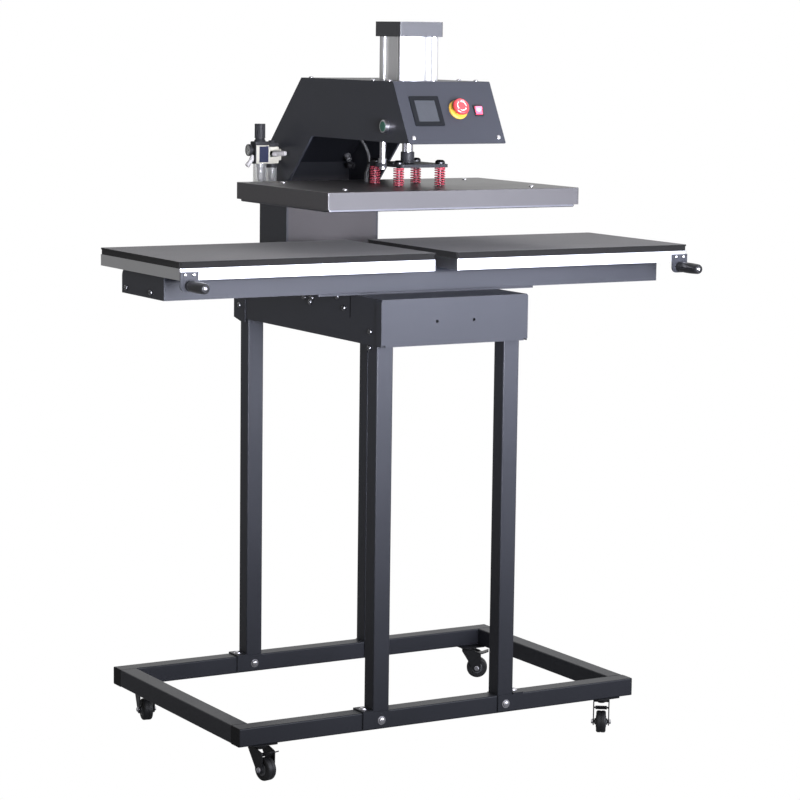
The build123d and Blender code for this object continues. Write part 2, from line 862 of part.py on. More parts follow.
def frame_plate(inner_x, thickness):
    """One side of the press frame: column, throat and hood cheek in a single plate."""
    with BuildPart() as plate:
        with BuildSketch(Plane.YZ.offset(inner_x)):
            with BuildLine():
                Polyline(
                    (front_slope_y(hood_floor_z, skin), hood_floor_z),
                    (front_slope_y(plate_top_z, skin), plate_top_z),
                    (rear_slope_y(plate_top_z, skin), plate_top_z),
                    (column_rear_y - skin, rear_slope_z(column_rear_y - skin, skin)),
                    (column_rear_y - skin, deck_top_z),
                    (column_front_y, deck_top_z),
                    (column_front_y, throat_low_z),
                    (throat_top_y, hood_floor_z),
                    close=True,
                )
            make_face()
        extrude(amount=thickness)
    return plate.part


# Left side plate, with the hole for the start button
with BuildPart() as left_side_plate:
    add(frame_plate(-plate_inner_x, -frame_plate_sheet))
    with BuildSketch(Plane.YZ.offset(-hood_half_width)):
        with Locations((start_y, start_z)):
            Circle(start_barrel_radius + panel_cutout_clearance)
    extrude(amount=frame_plate_sheet, mode=Mode.SUBTRACT)
save(left_side_plate, "left_side_plate")

with BuildPart() as right_side_plate:
    add(frame_plate(plate_inner_x, frame_plate_sheet))
save(right_side_plate, "right_side_plate")

# Covers between and behind the side plates
with BuildPart() as column_covers:
    with BuildSketch(Plane.YZ.offset(-plate_inner_x)):
        with Locations((column_front_y, deck_top_z)):
            Rectangle(skin, throat_low_z - deck_top_z, align=(Align.MIN, Align.MIN))
    extrude(amount=2 * plate_inner_x)
    with BuildSketch(Plane.YZ.offset(-hood_half_width)):
        with BuildLine():
            Polyline(
                (hood_rear_top_y, hood_top_z),
                (column_rear_y, rear_slope_z(column_rear_y, 0)),
                (column_rear_y, deck_top_z),
                (column_rear_y - skin, deck_top_z),
                (column_rear_y - skin, rear_slope_z(column_rear_y - skin, skin)),
                (rear_slope_y(plate_top_z, skin), plate_top_z),
                close=True,
            )
        make_face()
    extrude(amount=2 * hood_half_width)
save(column_covers, "column_covers")

# Top of the hood, with the square opening that the cylinder stands in
hood_top_front_y = front_slope_y(hood_top_z, skin)
hood_top_rear_y = rear_slope_y(plate_top_z, skin)
with BuildPart() as hood_top:
    with BuildSketch(Plane.XY.offset(plate_top_z)):
        with Locations((0, hood_top_front_y)):
            Rectangle(2 * hood_half_width, hood_top_rear_y - hood_top_front_y, align=(Align.CENTER, Align.MIN))
        with Locations((0, press_axis_y)):
            Rectangle(cylinder_opening, cylinder_opening, mode=Mode.SUBTRACT)
    extrude(amount=skin)
save(hood_top, "hood_top")

# Sloping control panel, with cut-outs for what it carries
with BuildPart() as control_panel:
    with BuildSketch(panel_plane):
        RectangleRounded(2 * hood_half_width, panel_length, skin)
        with Locations((display_x, display_up)):
            Rectangle(
                display_housing_width + 2 * panel_cutout_clearance,
                display_housing_height + 2 * panel_cutout_clearance,
                mode=Mode.SUBTRACT,
            )
        with Locations((estop_x, estop_up)):
            Circle(estop_barrel_radius + panel_cutout_clearance, mode=Mode.SUBTRACT)
        with Locations((switch_x, switch_up)):
            Rectangle(
                switch_housing_width + 2 * panel_cutout_clearance,
                switch_housing_height + 2 * panel_cutout_clearance,
                mode=Mode.SUBTRACT,
            )
    extrude(amount=-skin)
save(control_panel, "control_panel")

# Plate inside the hood that holds the cylinder, with the guide post's bush under it
with BuildPart() as cylinder_mount_plate:
    with BuildSketch(Plane.XY.offset(mount_plate_bottom_z)):
        with Locations((0, mount_plate_front_y)):
            Rectangle(2 * plate_inner_x, mount_plate_depth, align=(Align.CENTER, Align.MIN))
        with Locations((0, press_axis_y)):
            Circle(rod_radius + bearing_clearance, mode=Mode.SUBTRACT)
    extrude(amount=mount_plate_sheet)
    with BuildSketch(Plane.XY.offset(mount_plate_bottom_z)):
        with Locations((post_x, press_axis_y)):
            Circle(bush_radius)
    extrude(amount=-bush_length)
    with BuildSketch(Plane.XY.offset(mount_plate_top_z)):
        with Locations((post_x, press_axis_y)):
            Circle(post_radius + running_fit)
    extrude(amount=-mount_plate_sheet - bush_length, mode=Mode.SUBTRACT)
save(cylinder_mount_plate, "cylinder_mount_plate")

# Cylinder barrel: a round tube with a lobe along each corner for the tie bolts
lobe_offset = tube_across / 2 - tube_lobe_radius
with BuildPart() as cylinder_tube:
    with BuildSketch(Plane.XY.offset(rod_cap_top_z)):
        with Locations((0, press_axis_y)):
            Circle(tube_across / 2)
            with GridLocations(2 * lobe_offset, 2 * lobe_offset, 2, 2):
                Circle(tube_lobe_radius)
            with GridLocations(tube_across, tube_across, 2, 2):
                Circle(tube_groove, mode=Mode.SUBTRACT)
            Circle(tube_bore_radius, mode=Mode.SUBTRACT)
    extrude(amount=head_cap_bottom_z - rod_cap_top_z)
save(cylinder_tube, "cylinder_tube")


def cylinder_cap(bottom_z, height):
    """Square end cap with bevelled corners and a sunk bolt at each one."""
    bolt_offset = cylinder_cap_size / 2 - 2 * tie_bolt_radius
    with BuildPart() as cap:
        with BuildSketch(Plane.XY.offset(bottom_z)):
            with Locations((0, press_axis_y)):
                RectangleRounded(cylinder_cap_size, cylinder_cap_size, cylinder_cap_corner)
        extrude(amount=height)
        with BuildSketch(Plane.XY.offset(bottom_z + height)):
            with Locations((0, press_axis_y)):
                with GridLocations(2 * bolt_offset, 2 * bolt_offset, 2, 2):
                    Circle(tie_bolt_radius)
        extrude(amount=-tie_bolt_depth, mode=Mode.SUBTRACT)
    return cap.part


with BuildPart() as cylinder_caps:
    add(cylinder_cap(mount_plate_top_z, rod_cap_height))
    with BuildSketch(Plane.XY.offset(mount_plate_top_z)):
        with Locations((0, press_axis_y)):
            Circle(rod_radius + running_fit)
    extrude(amount=rod_cap_height, mode=Mode.SUBTRACT)
    add(cylinder_cap(head_cap_bottom_z, head_cap_height))
save(cylinder_caps, "cylinder_caps")

# Piston and rod in one piece
with BuildPart() as piston_rod:
    with BuildSketch(Plane.XY.offset(coupler_top_z)):
        with Locations((0, press_axis_y)):
            Circle(rod_radius)
    extrude(amount=piston_top_z - coupler_top_z)
    with BuildSketch(Plane.XY.offset(piston_top_z)):
        with Locations((0, press_axis_y)):
            Circle(tube_bore_radius - piston_clearance)
    extrude(amount=-piston_thickness)
save(piston_rod, "piston_rod")

# Coupler between the rod and the cross plate
with BuildPart() as rod_coupler:
    with BuildSketch(Plane.XY.offset(cross_plate_top_z)):
        with Locations((0, press_axis_y)):
            Circle(coupler_radius)
    extrude(amount=coupler_height)
    chamfer(rod_coupler.edges().group_by(Axis.Z)[-1], coupler_bevel)
save(rod_coupler, "rod_coupler")

# Cross plate, with an ear for the guide post
with BuildPart() as cross_plate:
    with BuildSketch(Plane.XY.offset(cross_plate_bottom_z)):
        with Locations((0, press_axis_y)):
            RectangleRounded(cross_plate_width, cross_plate_depth, cross_plate_corner)
            with GridLocations(bolt_spacing, bolt_spacing, 2, 2):
                Circle(shoulder_radius + shoulder_clearance, mode=Mode.SUBTRACT)
        with Locations((post_x, press_axis_y)):
            Circle(ear_radius)
            Circle(post_radius + running_fit, mode=Mode.SUBTRACT)
    extrude(amount=cross_plate_sheet)
save(cross_plate, "cross_plate")

# Guide post that keeps the head from turning
with BuildPart() as guide_post:
    with BuildSketch(Plane.XY.offset(cross_plate_bottom_z - post_below_plate)):
        with Locations((post_x, press_axis_y)):
            Circle(post_radius)
    extrude(amount=post_top_z - cross_plate_bottom_z + post_below_plate)
    with BuildSketch(Plane.XY.offset(cross_plate_top_z)):
        with Locations((post_x, press_axis_y)):
            Circle(post_collar_radius)
    extrude(amount=post_collar_height)
save(guide_post, "guide_post")


def helix_point(angle, radius, rise, bottom_z):
    """Point on a helix that starts at a height, and the unit tangent there."""
    point = Vector(radius * cos(angle), radius * sin(angle), bottom_z + rise * angle)
    tangent = Vector(-radius * sin(angle), radius * cos(angle), rise).normalized()
    return point, tangent


def joined_arcs(start, start_tangent, end, end_tangent):
    """Two arcs, tangent to each other, between two points with given directions."""
    chord = end - start
    square = 2 * (start_tangent.dot(end_tangent) - 1)
    linear = -2 * chord.dot(start_tangent + end_tangent)
    reach = (-linear - sqrt(linear**2 - 4 * square * chord.dot(chord))) / (2 * square)
    near = start + start_tangent * reach
    far = end - end_tangent * reach
    middle = (near + far) * 0.5
    middle_tangent = (far - near).normalized()
    return [
        Edge.make_tangent_arc(start, start_tangent, middle),
        Edge.make_tangent_arc(middle, middle_tangent, end),
    ]


# Pressure spring: an open coil whose ends turn square to the plates they meet
spring_height = cross_plate_bottom_z - platen_top_z
coil_radius = (spring_outer_diameter - spring_wire) / 2
coil_height = spring_height - 2 * spring_wire
half_turns = round(2 * spring_turns)
last_angle = half_turns * pi


def spring_rise():
    """Rise per radian that leaves room for the bend at each end."""
    rise = coil_height / last_angle
    for _ in range(8):
        bend_height = spring_end_bend * coil_radius / sqrt(coil_radius**2 + rise**2)
        rise = (coil_height - 2 * bend_height) / last_angle
    return rise, bend_height


rise_per_radian, bend_height = spring_rise()


def spring_edges():
    """Edges of the spring's centre line, standing on Z 0."""
    coil_bottom_z = spring_wire + bend_height
    first, first_tangent = helix_point(0, coil_radius, rise_per_radian, coil_bottom_z)
    last, last_tangent = helix_point(last_angle, coil_radius, rise_per_radian, coil_bottom_z)
    bend_reach = spring_end_bend * (1 - first_tangent.Z)
    foot = Vector(first.X, first.Y - bend_reach, spring_wire)
    turned = 1 if half_turns % 2 == 0 else -1
    head = Vector(last.X, last.Y + turned * bend_reach, spring_height - spring_wire)
    edges = [
        Edge.make_line(Vector(foot.X, foot.Y, 0), foot),
        Edge.make_tangent_arc(foot, Vector(0, 0, 1), first),
    ]
    for half_turn in range(half_turns):
        start, start_tangent = helix_point(half_turn * pi, coil_radius, rise_per_radian, coil_bottom_z)
        end, end_tangent = helix_point((half_turn + 1) * pi, coil_radius, rise_per_radian, coil_bottom_z)
        edges += joined_arcs(start, start_tangent, end, end_tangent)
    edges.append(Edge.make_tangent_arc(last, last_tangent, head))
    edges.append(Edge.make_line(head, Vector(head.X, head.Y, spring_height)))
    return edges


with BuildPart() as spring:
    with BuildLine() as spring_line:
        add(spring_edges())
    spring_path = spring_line.wires()[0]
    with BuildSketch(Plane(origin=spring_edges()[0] @ 0, z_dir=(0, 0, 1))):
        Circle(spring_wire / 2)
    sweep(path=spring_path)

with BuildPart() as pressure_springs:
    with Locations((0, press_axis_y, platen_top_z)):
        with GridLocations(bolt_spacing, bolt_spacing, 2, 2):
            add(spring.part)
save(pressure_springs, "pressure_springs")


def least_gap(path, wire, steps_per_turn=36):
    """Least gap between the surfaces of a coil's neighbouring turns, measured on points."""
    count = round(steps_per_turn * (spring_turns + 1))
    points = [path @ (step / count) for step in range(count + 1)]
    apart = steps_per_turn // 2
    gaps = [
        (points[i] - points[j]).length - wire
        for i in range(len(points))
        for j in range(i + apart, len(points))
    ]
    return min(gaps)


print(f"pressure spring: least gap to itself {least_gap(spring_path, spring_wire):.2f} mm")

# Shoulder bolts: the platen hangs from their heads, which rest on the cross plate
with BuildPart() as shoulder_bolts:
    with BuildSketch(Plane.XY.offset(heating_plate_top_z)):
        with Locations((0, press_axis_y)):
            with GridLocations(bolt_spacing, bolt_spacing, 2, 2):
                Circle(shoulder_radius)
    extrude(amount=bolt_head_bottom_z - heating_plate_top_z)
    with BuildSketch(Plane.XY.offset(bolt_head_bottom_z)):
        with Locations((0, press_axis_y)):
            with GridLocations(bolt_spacing, bolt_spacing, 2, 2):
                Circle(bolt_head_radius)
    extrude(amount=bolt_head_height)
    fillet(shoulder_bolts.edges().group_by(Axis.Z)[-1], bolt_head_height * dome_share)
save(shoulder_bolts, "shoulder_bolts")

# Platen cover: a shallow box, open below, over the heating plate
cover_bottom_z = platen_top_z - platen_cover_height
with BuildPart() as platen_cover:
    with BuildSketch(Plane.XY.offset(cover_bottom_z)):
        with Locations((0, press_axis_y)):
            RectangleRounded(platen_length, platen_depth, platen_corner)
    extrude(amount=platen_cover_height)
    fillet(platen_cover.faces().sort_by(Axis.Z)[-1].edges(), platen_cover_wall / 2)
    with BuildSketch(Plane.XY.offset(cover_bottom_z)):
        with Locations((0, press_axis_y)):
            RectangleRounded(
                platen_length - 2 * platen_cover_wall,
                platen_depth - 2 * platen_cover_wall,
                platen_corner - platen_cover_wall,
            )
    extrude(amount=platen_cover_height - platen_cover_wall, mode=Mode.SUBTRACT)
    with BuildSketch(Plane.XY.offset(platen_top_z)):
        with Locations((0, press_axis_y)):
            with GridLocations(bolt_spacing, bolt_spacing, 2, 2):
                Circle(shoulder_radius + shoulder_clearance)
    extrude(amount=-platen_cover_wall, mode=Mode.SUBTRACT)
save(platen_cover, "platen_cover")

# Heating plate, with bosses that reach up to the cover
with BuildPart() as heating_plate:
    with BuildSketch(Plane.XY.offset(heating_plate_bottom_z)):
        with Locations((0, press_axis_y)):
            RectangleRounded(
                platen_length - 2 * heating_plate_inset,
                platen_depth - 2 * heating_plate_inset,
                platen_corner,
            )
    extrude(amount=heating_plate_thickness)
    with BuildSketch(Plane.XY.offset(heating_plate_top_z)):
        with Locations((0, press_axis_y)):
            with GridLocations(bolt_spacing, bolt_spacing, 2, 2):
                Circle(bolt_head_radius)
                Circle(shoulder_radius + shoulder_clearance, mode=Mode.SUBTRACT)
    extrude(amount=platen_top_z - platen_cover_wall - heating_plate_top_z)
    chamfer(heating_plate.faces().sort_by(Axis.Z)[0].edges(), heating_plate_bevel)
save(heating_plate, "heating_plate")

# Heater lead: up from its gland on the platen and on into the hood, which leaves it room to move
lead_points = [
    (gland_x + x * lead_sway_x, gland_y + y * lead_sway_y, platen_top_z + gland_height + z * lead_rise)
    for x, y, z in lead_shares
]


def route_radii(points, share=0.45):
    """Radius of each bend of a route: as large as its two runs allow."""
    radii = []
    for before, corner, after in zip(points, points[1:], points[2:]):
        coming = Vector(*corner) - Vector(*before)
        going = Vector(*after) - Vector(*corner)
        half_turn = radians(coming.get_angle(going)) / 2
        radii.append(share * min(coming.length, going.length) / tan(half_turn))
    return radii


with BuildPart() as heater_lead:
    lead_radii = route_radii(lead_points)
    with BuildLine() as lead_line:
        FilletPolyline(*lead_points, radius=lead_radii)
    lead_path = lead_line.wires()[0]
    with BuildSketch(Plane(origin=lead_path @ 0, z_dir=lead_path % 0)):
        Circle(cable_radius)
    sweep(path=lead_path)
    print("heater lead radii:", ", ".join(f"{radius:.0f}" for radius in lead_radii))
    lead_volume = pi * cable_radius**2 * lead_path.length
    print(f"heater lead volume against section times length: {heater_lead.part.volume / lead_volume:.3f}")
    with BuildSketch(Plane.XY.offset(platen_top_z)):
        with Locations((gland_x, gland_y)):
            Circle(gland_radius)
    extrude(amount=gland_height)
save(heater_lead, "heater_lead")


def panel_point(x, up):
    """Plane on the sloping panel at a distance from its middle."""
    return Plane(origin=panel_plane.from_local_coords((x, up, 0)), x_dir=panel_plane.x_dir, z_dir=panel_plane.z_dir)


# Display: a frame on the panel with a sunk window, and its housing behind
with BuildPart() as display_unit:
    with BuildSketch(panel_point(display_x, display_up)):
        RectangleRounded(display_width, display_height, display_corner)
    extrude(amount=display_flange)
    with BuildSketch(panel_point(display_x, display_up)):
        Rectangle(display_housing_width, display_housing_height)
    extrude(amount=-display_depth)
    with BuildSketch(panel_point(display_x, display_up).offset(display_flange)):
        Rectangle(display_window, display_window)
    extrude(amount=-display_recess, mode=Mode.SUBTRACT)
save(display_unit, "display_unit")

# Emergency stop: fixed collar and barrel, stem that slides, head that turns on the stem
estop_plane = panel_point(estop_x, estop_up)
with BuildPart() as estop_collar:
    with BuildSketch(estop_plane):
        Circle(estop_collar_radius)
    extrude(amount=estop_collar_height)
    chamfer(estop_collar.edges().filter_by(GeomType.CIRCLE).sort_by(lambda edge: edge.center().Z)[-1], estop_collar_bevel)
    with BuildSketch(estop_plane):
        Circle(estop_barrel_radius)
    extrude(amount=-estop_barrel_length)
    with BuildSketch(estop_plane.offset(estop_collar_height)):
        Circle(estop_stem_radius + running_fit)
    extrude(amount=-estop_barrel_length, mode=Mode.SUBTRACT)
save(estop_collar, "estop_collar")

estop_head_bottom = estop_collar_height + estop_gap
with BuildPart() as estop_stem:
    with BuildSketch(estop_plane.offset(estop_head_bottom - bearing_clearance)):
        Circle(estop_stem_radius)
    extrude(amount=-estop_barrel_length + estop_travel)
    with BuildSketch(estop_plane.offset(estop_head_bottom - bearing_clearance)):
        Circle(twist_pin_radius)
    extrude(amount=twist_pin_length)
save(estop_stem, "estop_stem")

with BuildPart() as estop_head:
    with BuildSketch(estop_plane.offset(estop_head_bottom)):
        Circle(estop_head_radius)
    extrude(amount=estop_head_height)
    fillet(estop_head.edges().filter_by(GeomType.CIRCLE).sort_by(lambda edge: edge.center().Z)[-1], estop_head_round)
    with BuildSketch(estop_plane.offset(estop_head_bottom)):
        Circle(twist_pin_radius + running_fit)
    extrude(amount=twist_pin_length, mode=Mode.SUBTRACT)
save(estop_head, "estop_head")

# Power switch: a frame with a rocker that tilts about a cross axis
switch_plane = panel_point(switch_x, switch_up)
rocker_window = 2 * (switch_rocker_radius + switch_clearance)
with BuildPart() as switch_frame:
    with BuildSketch(switch_plane):
        RectangleRounded(switch_width, switch_height, switch_corner)
    extrude(amount=switch_flange)
    with BuildSketch(switch_plane):
        Rectangle(switch_housing_width, switch_housing_height)
    extrude(amount=-switch_body_depth)
    with BuildSketch(switch_plane.offset(switch_flange)):
        Rectangle(switch_rocker_width + 2 * switch_clearance, rocker_window)
    extrude(amount=-switch_flange - switch_rocker_radius - switch_rocker_room, mode=Mode.SUBTRACT)
save(switch_frame, "switch_frame")

# The rocker's outline is a disc cut by two planes that meet in a shallow valley
rocker_up = switch_plane.y_dir * cos(radians(switch_tilt)) + switch_plane.z_dir * sin(radians(switch_tilt))
rocker_axis_plane = Plane(
    origin=switch_plane.origin - switch_plane.x_dir * (switch_rocker_width / 2),
    x_dir=rocker_up,
    z_dir=switch_plane.x_dir,
)
with BuildPart() as switch_rocker:
    with BuildSketch(rocker_axis_plane):
        Circle(switch_rocker_radius)
        valley_rim = switch_valley + 2 * switch_rocker_radius * tan(radians(switch_valley_slope))
        with BuildLine():
            Polyline(
                (-2 * switch_rocker_radius, -2 * switch_rocker_radius),
                (2 * switch_rocker_radius, -2 * switch_rocker_radius),
                (2 * switch_rocker_radius, valley_rim),
                (0, switch_valley),
                (-2 * switch_rocker_radius, valley_rim),
                close=True,
            )
        make_face(mode=Mode.INTERSECT)
    extrude(amount=switch_rocker_width)
save(switch_rocker, "switch_rocker")

# Start button: bezel with a blind barrel through the side plate, and a sprung cap
start_plane = Plane(origin=(-hood_half_width, start_y, start_z), x_dir=(0, 1, 0), z_dir=(-1, 0, 0))
with BuildPart() as start_bezel:
    with BuildSketch(start_plane):
        Circle(start_bezel_radius)
    extrude(amount=start_bezel_height)
    chamfer(start_bezel.edges().group_by(Axis.X)[0], start_bezel_bevel)
    with BuildSketch(start_plane):
        Circle(start_barrel_radius)
    extrude(amount=-start_barrel_length)
    with BuildSketch(start_plane.offset(start_bezel_height)):
        Circle(start_cap_radius + running_fit)
    extrude(amount=start_bezel_end - start_bezel_height - start_barrel_length, mode=Mode.SUBTRACT)
save(start_bezel, "start_bezel")

with BuildPart() as start_button:
    with BuildSketch(start_plane.offset(start_bezel_height + start_cap_proud)):
        Circle(start_cap_radius)
    cap_length = start_bezel_height + start_cap_proud + start_barrel_length - start_bezel_end - start_back_gap
    extrude(amount=-cap_length)
    fillet(start_button.edges().group_by(Axis.X)[0], start_cap_round)
save(start_button, "start_button")

# Air preparation unit: regulator and lubricator side by side, gauge, inlet and outlet
lubricator_left_x = regulator_left_x + regulator_width
unit_right_x = lubricator_left_x + lubricator_width
regulator_x = regulator_left_x + regulator_width / 2
lubricator_x = lubricator_left_x + lubricator_width / 2
bonnet_bottom_z = regulator_bottom_z + regulator_height
gauge_z = regulator_bottom_z + gauge_above
inlet_plane = Plane(
    origin=(regulator_left_x, regulator_middle_y, regulator_bottom_z + inlet_above),
    z_dir=inlet_direction,
)
outlet_start_y = regulator_middle_y - lubricator_depth / 2
outlet_plane = Plane(
    origin=(lubricator_x, outlet_start_y, regulator_bottom_z + outlet_above),
    z_dir=outlet_direction,
)
with BuildPart() as air_regulator:
    with BuildSketch(Plane.XY.offset(regulator_bottom_z)):
        with Locations((regulator_x, regulator_middle_y)):
            RectangleRounded(regulator_width, regulator_depth, air_body_corner)
    extrude(amount=regulator_height)
    with BuildSketch(Plane.XY.offset(bonnet_bottom_z)):
        with Locations((regulator_x, regulator_middle_y)):
            Circle(bonnet_radius)
    extrude(amount=bonnet_height, taper=bonnet_taper)
    with BuildSketch(Plane.XY.offset(knob_bottom_z - knob_gap)):
        with Locations((regulator_x, regulator_middle_y)):
            Circle(knob_stem_radius)
    extrude(amount=knob_stem_length)
    with BuildSketch(Plane.XY.offset(regulator_bottom_z)):
        with Locations((lubricator_x, regulator_middle_y)):
            RectangleRounded(lubricator_width, lubricator_depth, air_body_corner)
    extrude(amount=lubricator_height)
    with BuildSketch(Plane.XY.offset(regulator_bottom_z + lubricator_height)):
        with Locations((lubricator_x, regulator_middle_y)):
            Circle(lubricator_cap_radius)
    extrude(amount=bonnet_height, taper=lubricator_cap_taper)
    with BuildSketch(Plane.YZ.offset(unit_right_x)):
        with Locations((regulator_middle_y, regulator_bottom_z + lubricator_height / 2)):
            RectangleRounded(unit_bracket_depth, unit_bracket_height, unit_bracket_corner)
    extrude(amount=-hood_half_width - unit_right_x)
    with BuildSketch(Plane.XY.offset(regulator_bottom_z)):
        with Locations((lubricator_x, regulator_middle_y)):
            Circle(bowl_ring_radius)
            Circle(small_bowl_radius + plug_clearance, mode=Mode.SUBTRACT)
    extrude(amount=-bowl_ring_height)
    with BuildSketch(Plane.YZ.offset(regulator_left_x)):
        with Locations((regulator_middle_y, gauge_z)):
            Circle(gauge_neck_radius)
    extrude(amount=-gauge_neck_length)
    with BuildSketch(Plane.YZ.offset(regulator_left_x - gauge_neck_length)):
        with Locations((regulator_middle_y, gauge_z)):
            Circle(gauge_radius)
    extrude(amount=-gauge_length)
    with BuildSketch(inlet_plane.offset(-fitting_root)):
        Circle(inlet_radius)
    extrude(amount=inlet_length + fitting_root)
    with BuildSketch(inlet_plane.offset(inlet_length)):
        Circle(inlet_bore_radius)
    extrude(amount=-inlet_bore_depth, mode=Mode.SUBTRACT)
    with BuildSketch(outlet_plane.offset(-fitting_root)):
        Circle(outlet_radius)
    extrude(amount=outlet_length + fitting_root)
save(air_regulator, "air_regulator")


def bowl(middle_x, radius, height):
    """Clear bowl with a rounded bottom, open upwards against its body."""
    half_section = Plane(
        origin=(middle_x, regulator_middle_y, regulator_bottom_z),
        x_dir=(1, 0, 0),
        z_dir=(0, -1, 0),
    )
    bowl_axis = Axis((middle_x, regulator_middle_y, 0), (0, 0, 1))
    with BuildPart() as cup:
        with BuildSketch(half_section) as outside:
            Rectangle(radius, height, align=(Align.MIN, Align.MAX))
            fillet(outside.vertices().group_by(Axis.Y)[0].sort_by(Axis.X)[-1], bowl_round)
        revolve(axis=bowl_axis)
        with BuildSketch(half_section) as inside:
            Rectangle(radius - bowl_wall, height - bowl_wall, align=(Align.MIN, Align.MAX))
            fillet(inside.vertices().group_by(Axis.Y)[0].sort_by(Axis.X)[-1], bowl_round - bowl_wall)
        revolve(axis=bowl_axis, mode=Mode.SUBTRACT)
    return cup.part


with BuildPart() as regulator_bowls:
    add(bowl(regulator_x, bowl_radius, bowl_height))
    add(bowl(lubricator_x, small_bowl_radius, small_bowl_height))
save(regulator_bowls, "regulator_bowls")

# Regulator knob on its stem
with BuildPart() as regulator_knob:
    with BuildSketch(Plane.XY.offset(knob_bottom_z)):
        with Locations((regulator_x, regulator_middle_y)):
            Circle(knob_radius)
            with PolarLocations(knob_radius, knob_flutes):
                Circle(knob_flute_radius, mode=Mode.SUBTRACT)
    extrude(amount=knob_height)
    with BuildSketch(Plane.XY.offset(knob_bottom_z)):
        with Locations((regulator_x, regulator_middle_y)):
            Circle(knob_stem_radius + running_fit)
    extrude(amount=knob_stem_length, mode=Mode.SUBTRACT)
save(regulator_knob, "regulator_knob")
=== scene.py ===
"""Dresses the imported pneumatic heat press: finishes, fasteners, springs, controls, stage and camera.

Metres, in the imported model's own frame. X runs along the table travel, Y to the back, Z up.
Sizes of single pieces are written in millimetres.
"""
import math

import bmesh
import bpy
from mathutils import Matrix, Vector


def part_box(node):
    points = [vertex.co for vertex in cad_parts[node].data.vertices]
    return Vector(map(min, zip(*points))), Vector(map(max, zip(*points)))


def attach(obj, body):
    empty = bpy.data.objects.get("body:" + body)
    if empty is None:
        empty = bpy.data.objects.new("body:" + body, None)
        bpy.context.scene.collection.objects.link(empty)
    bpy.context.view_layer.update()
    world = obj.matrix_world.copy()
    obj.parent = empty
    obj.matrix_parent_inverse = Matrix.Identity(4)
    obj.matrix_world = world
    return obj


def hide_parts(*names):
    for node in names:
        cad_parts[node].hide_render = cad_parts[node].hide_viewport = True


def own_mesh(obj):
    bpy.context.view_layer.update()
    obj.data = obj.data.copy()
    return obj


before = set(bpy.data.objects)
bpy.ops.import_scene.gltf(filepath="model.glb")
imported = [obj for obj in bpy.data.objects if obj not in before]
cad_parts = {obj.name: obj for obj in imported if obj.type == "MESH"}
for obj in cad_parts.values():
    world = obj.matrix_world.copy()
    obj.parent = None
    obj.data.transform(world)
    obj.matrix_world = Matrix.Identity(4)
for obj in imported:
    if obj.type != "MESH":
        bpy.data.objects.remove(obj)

bl_info = {
    "name": "Heat press looks",
    "version": (1, 0, 0),
    "blender": (4, 5, 0),
    "location": "3D View > Sidebar > Heat press",
    "description": "Finishes, fasteners and fittings of a pneumatic heat press on its stand",
    "category": "Object",
}

MM = 0.001
FULL_TURN = 2 * math.pi
UP = Vector((0, 0, 1))
FRONT = Vector((0, -1, 0))
LEFT = Vector((-1, 0, 0))
RIGHT = Vector((1, 0, 0))
UPRIGHT = Matrix.Identity(4)
WHITE = (1, 1, 1, 1)
SIDES = (-1, 1)
FOUR_WAYS = [(side_x, side_y) for side_x in SIDES for side_y in SIDES]


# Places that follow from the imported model

def middle_of(node):
    """Middle of a node's box."""
    low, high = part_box(node)
    return (low + high) / 2


base_low, base_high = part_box("legs")
BASE = Vector(((base_low.x + base_high.x) / 2, (base_low.y + base_high.y) / 2, 0))
TUBE = 0.040
LEG_X = (base_high.x - base_low.x) / 2 - TUBE / 2
RAIL_Y = (base_high.y - base_low.y) / 2 - TUBE / 2
panel_low, panel_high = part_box("control_panel")
PANEL_RUN, PANEL_RISE = 71, 129
PANEL_LEAN = math.atan2(PANEL_RUN, PANEL_RISE)
PANEL_UP = Vector((0, math.sin(PANEL_LEAN), math.cos(PANEL_LEAN)))
PANEL_OUT = Vector((0, -math.cos(PANEL_LEAN), math.sin(PANEL_LEAN)))
PANEL_LENGTH = math.hypot(PANEL_RUN, PANEL_RISE) * MM
PANEL_FOOT = Vector(((panel_low.x + panel_high.x) / 2, panel_low.y, panel_high.z - PANEL_LENGTH * PANEL_UP.z))
PANEL_MIDDLE = PANEL_FOOT + PANEL_UP * PANEL_LENGTH / 2
PRESS = Vector((middle_of("platen_cover").x, middle_of("platen_cover").y, 0))
CORNERS = ("front_left", "front_right", "rear_left", "rear_right")


def spot(x, y, z):
    """A point given in millimetres from the middle of the base, on the floor."""
    return BASE + Vector((x, y, z)) * MM


def on_panel(x, up, out=0):
    """A point on the sloping panel, in millimetres from its middle."""
    return PANEL_MIDDLE + (RIGHT * x + PANEL_UP * up + PANEL_OUT * out) * MM


def beside(side, reach, y, z):
    """Place of a screw that faces sideways, at a reach in metres from the middle of the base."""
    return spot(0, y, z) + RIGHT * side * reach, RIGHT * side


# Properties that a user would change

def colour(name, description, red, green, blue):
    """A colour property with its default."""
    return bpy.props.FloatVectorProperty(
        name=name,
        description=description,
        subtype="COLOR",
        size=4,
        min=0,
        max=1,
        default=(red, green, blue, 1),
    )


def number(name, description, default, **kind):
    """A number property with its default and its kind of unit."""
    return bpy.props.FloatProperty(name=name, description=description, default=default, **kind)


def length(name, description, default):
    """A length property with its default."""
    return number(name, description, default, min=0, unit="LENGTH", subtype="DISTANCE", precision=4)


def angle(name, description, degrees):
    """An angle property with its default in degrees."""
    return number(name, description, math.radians(degrees), subtype="ANGLE")


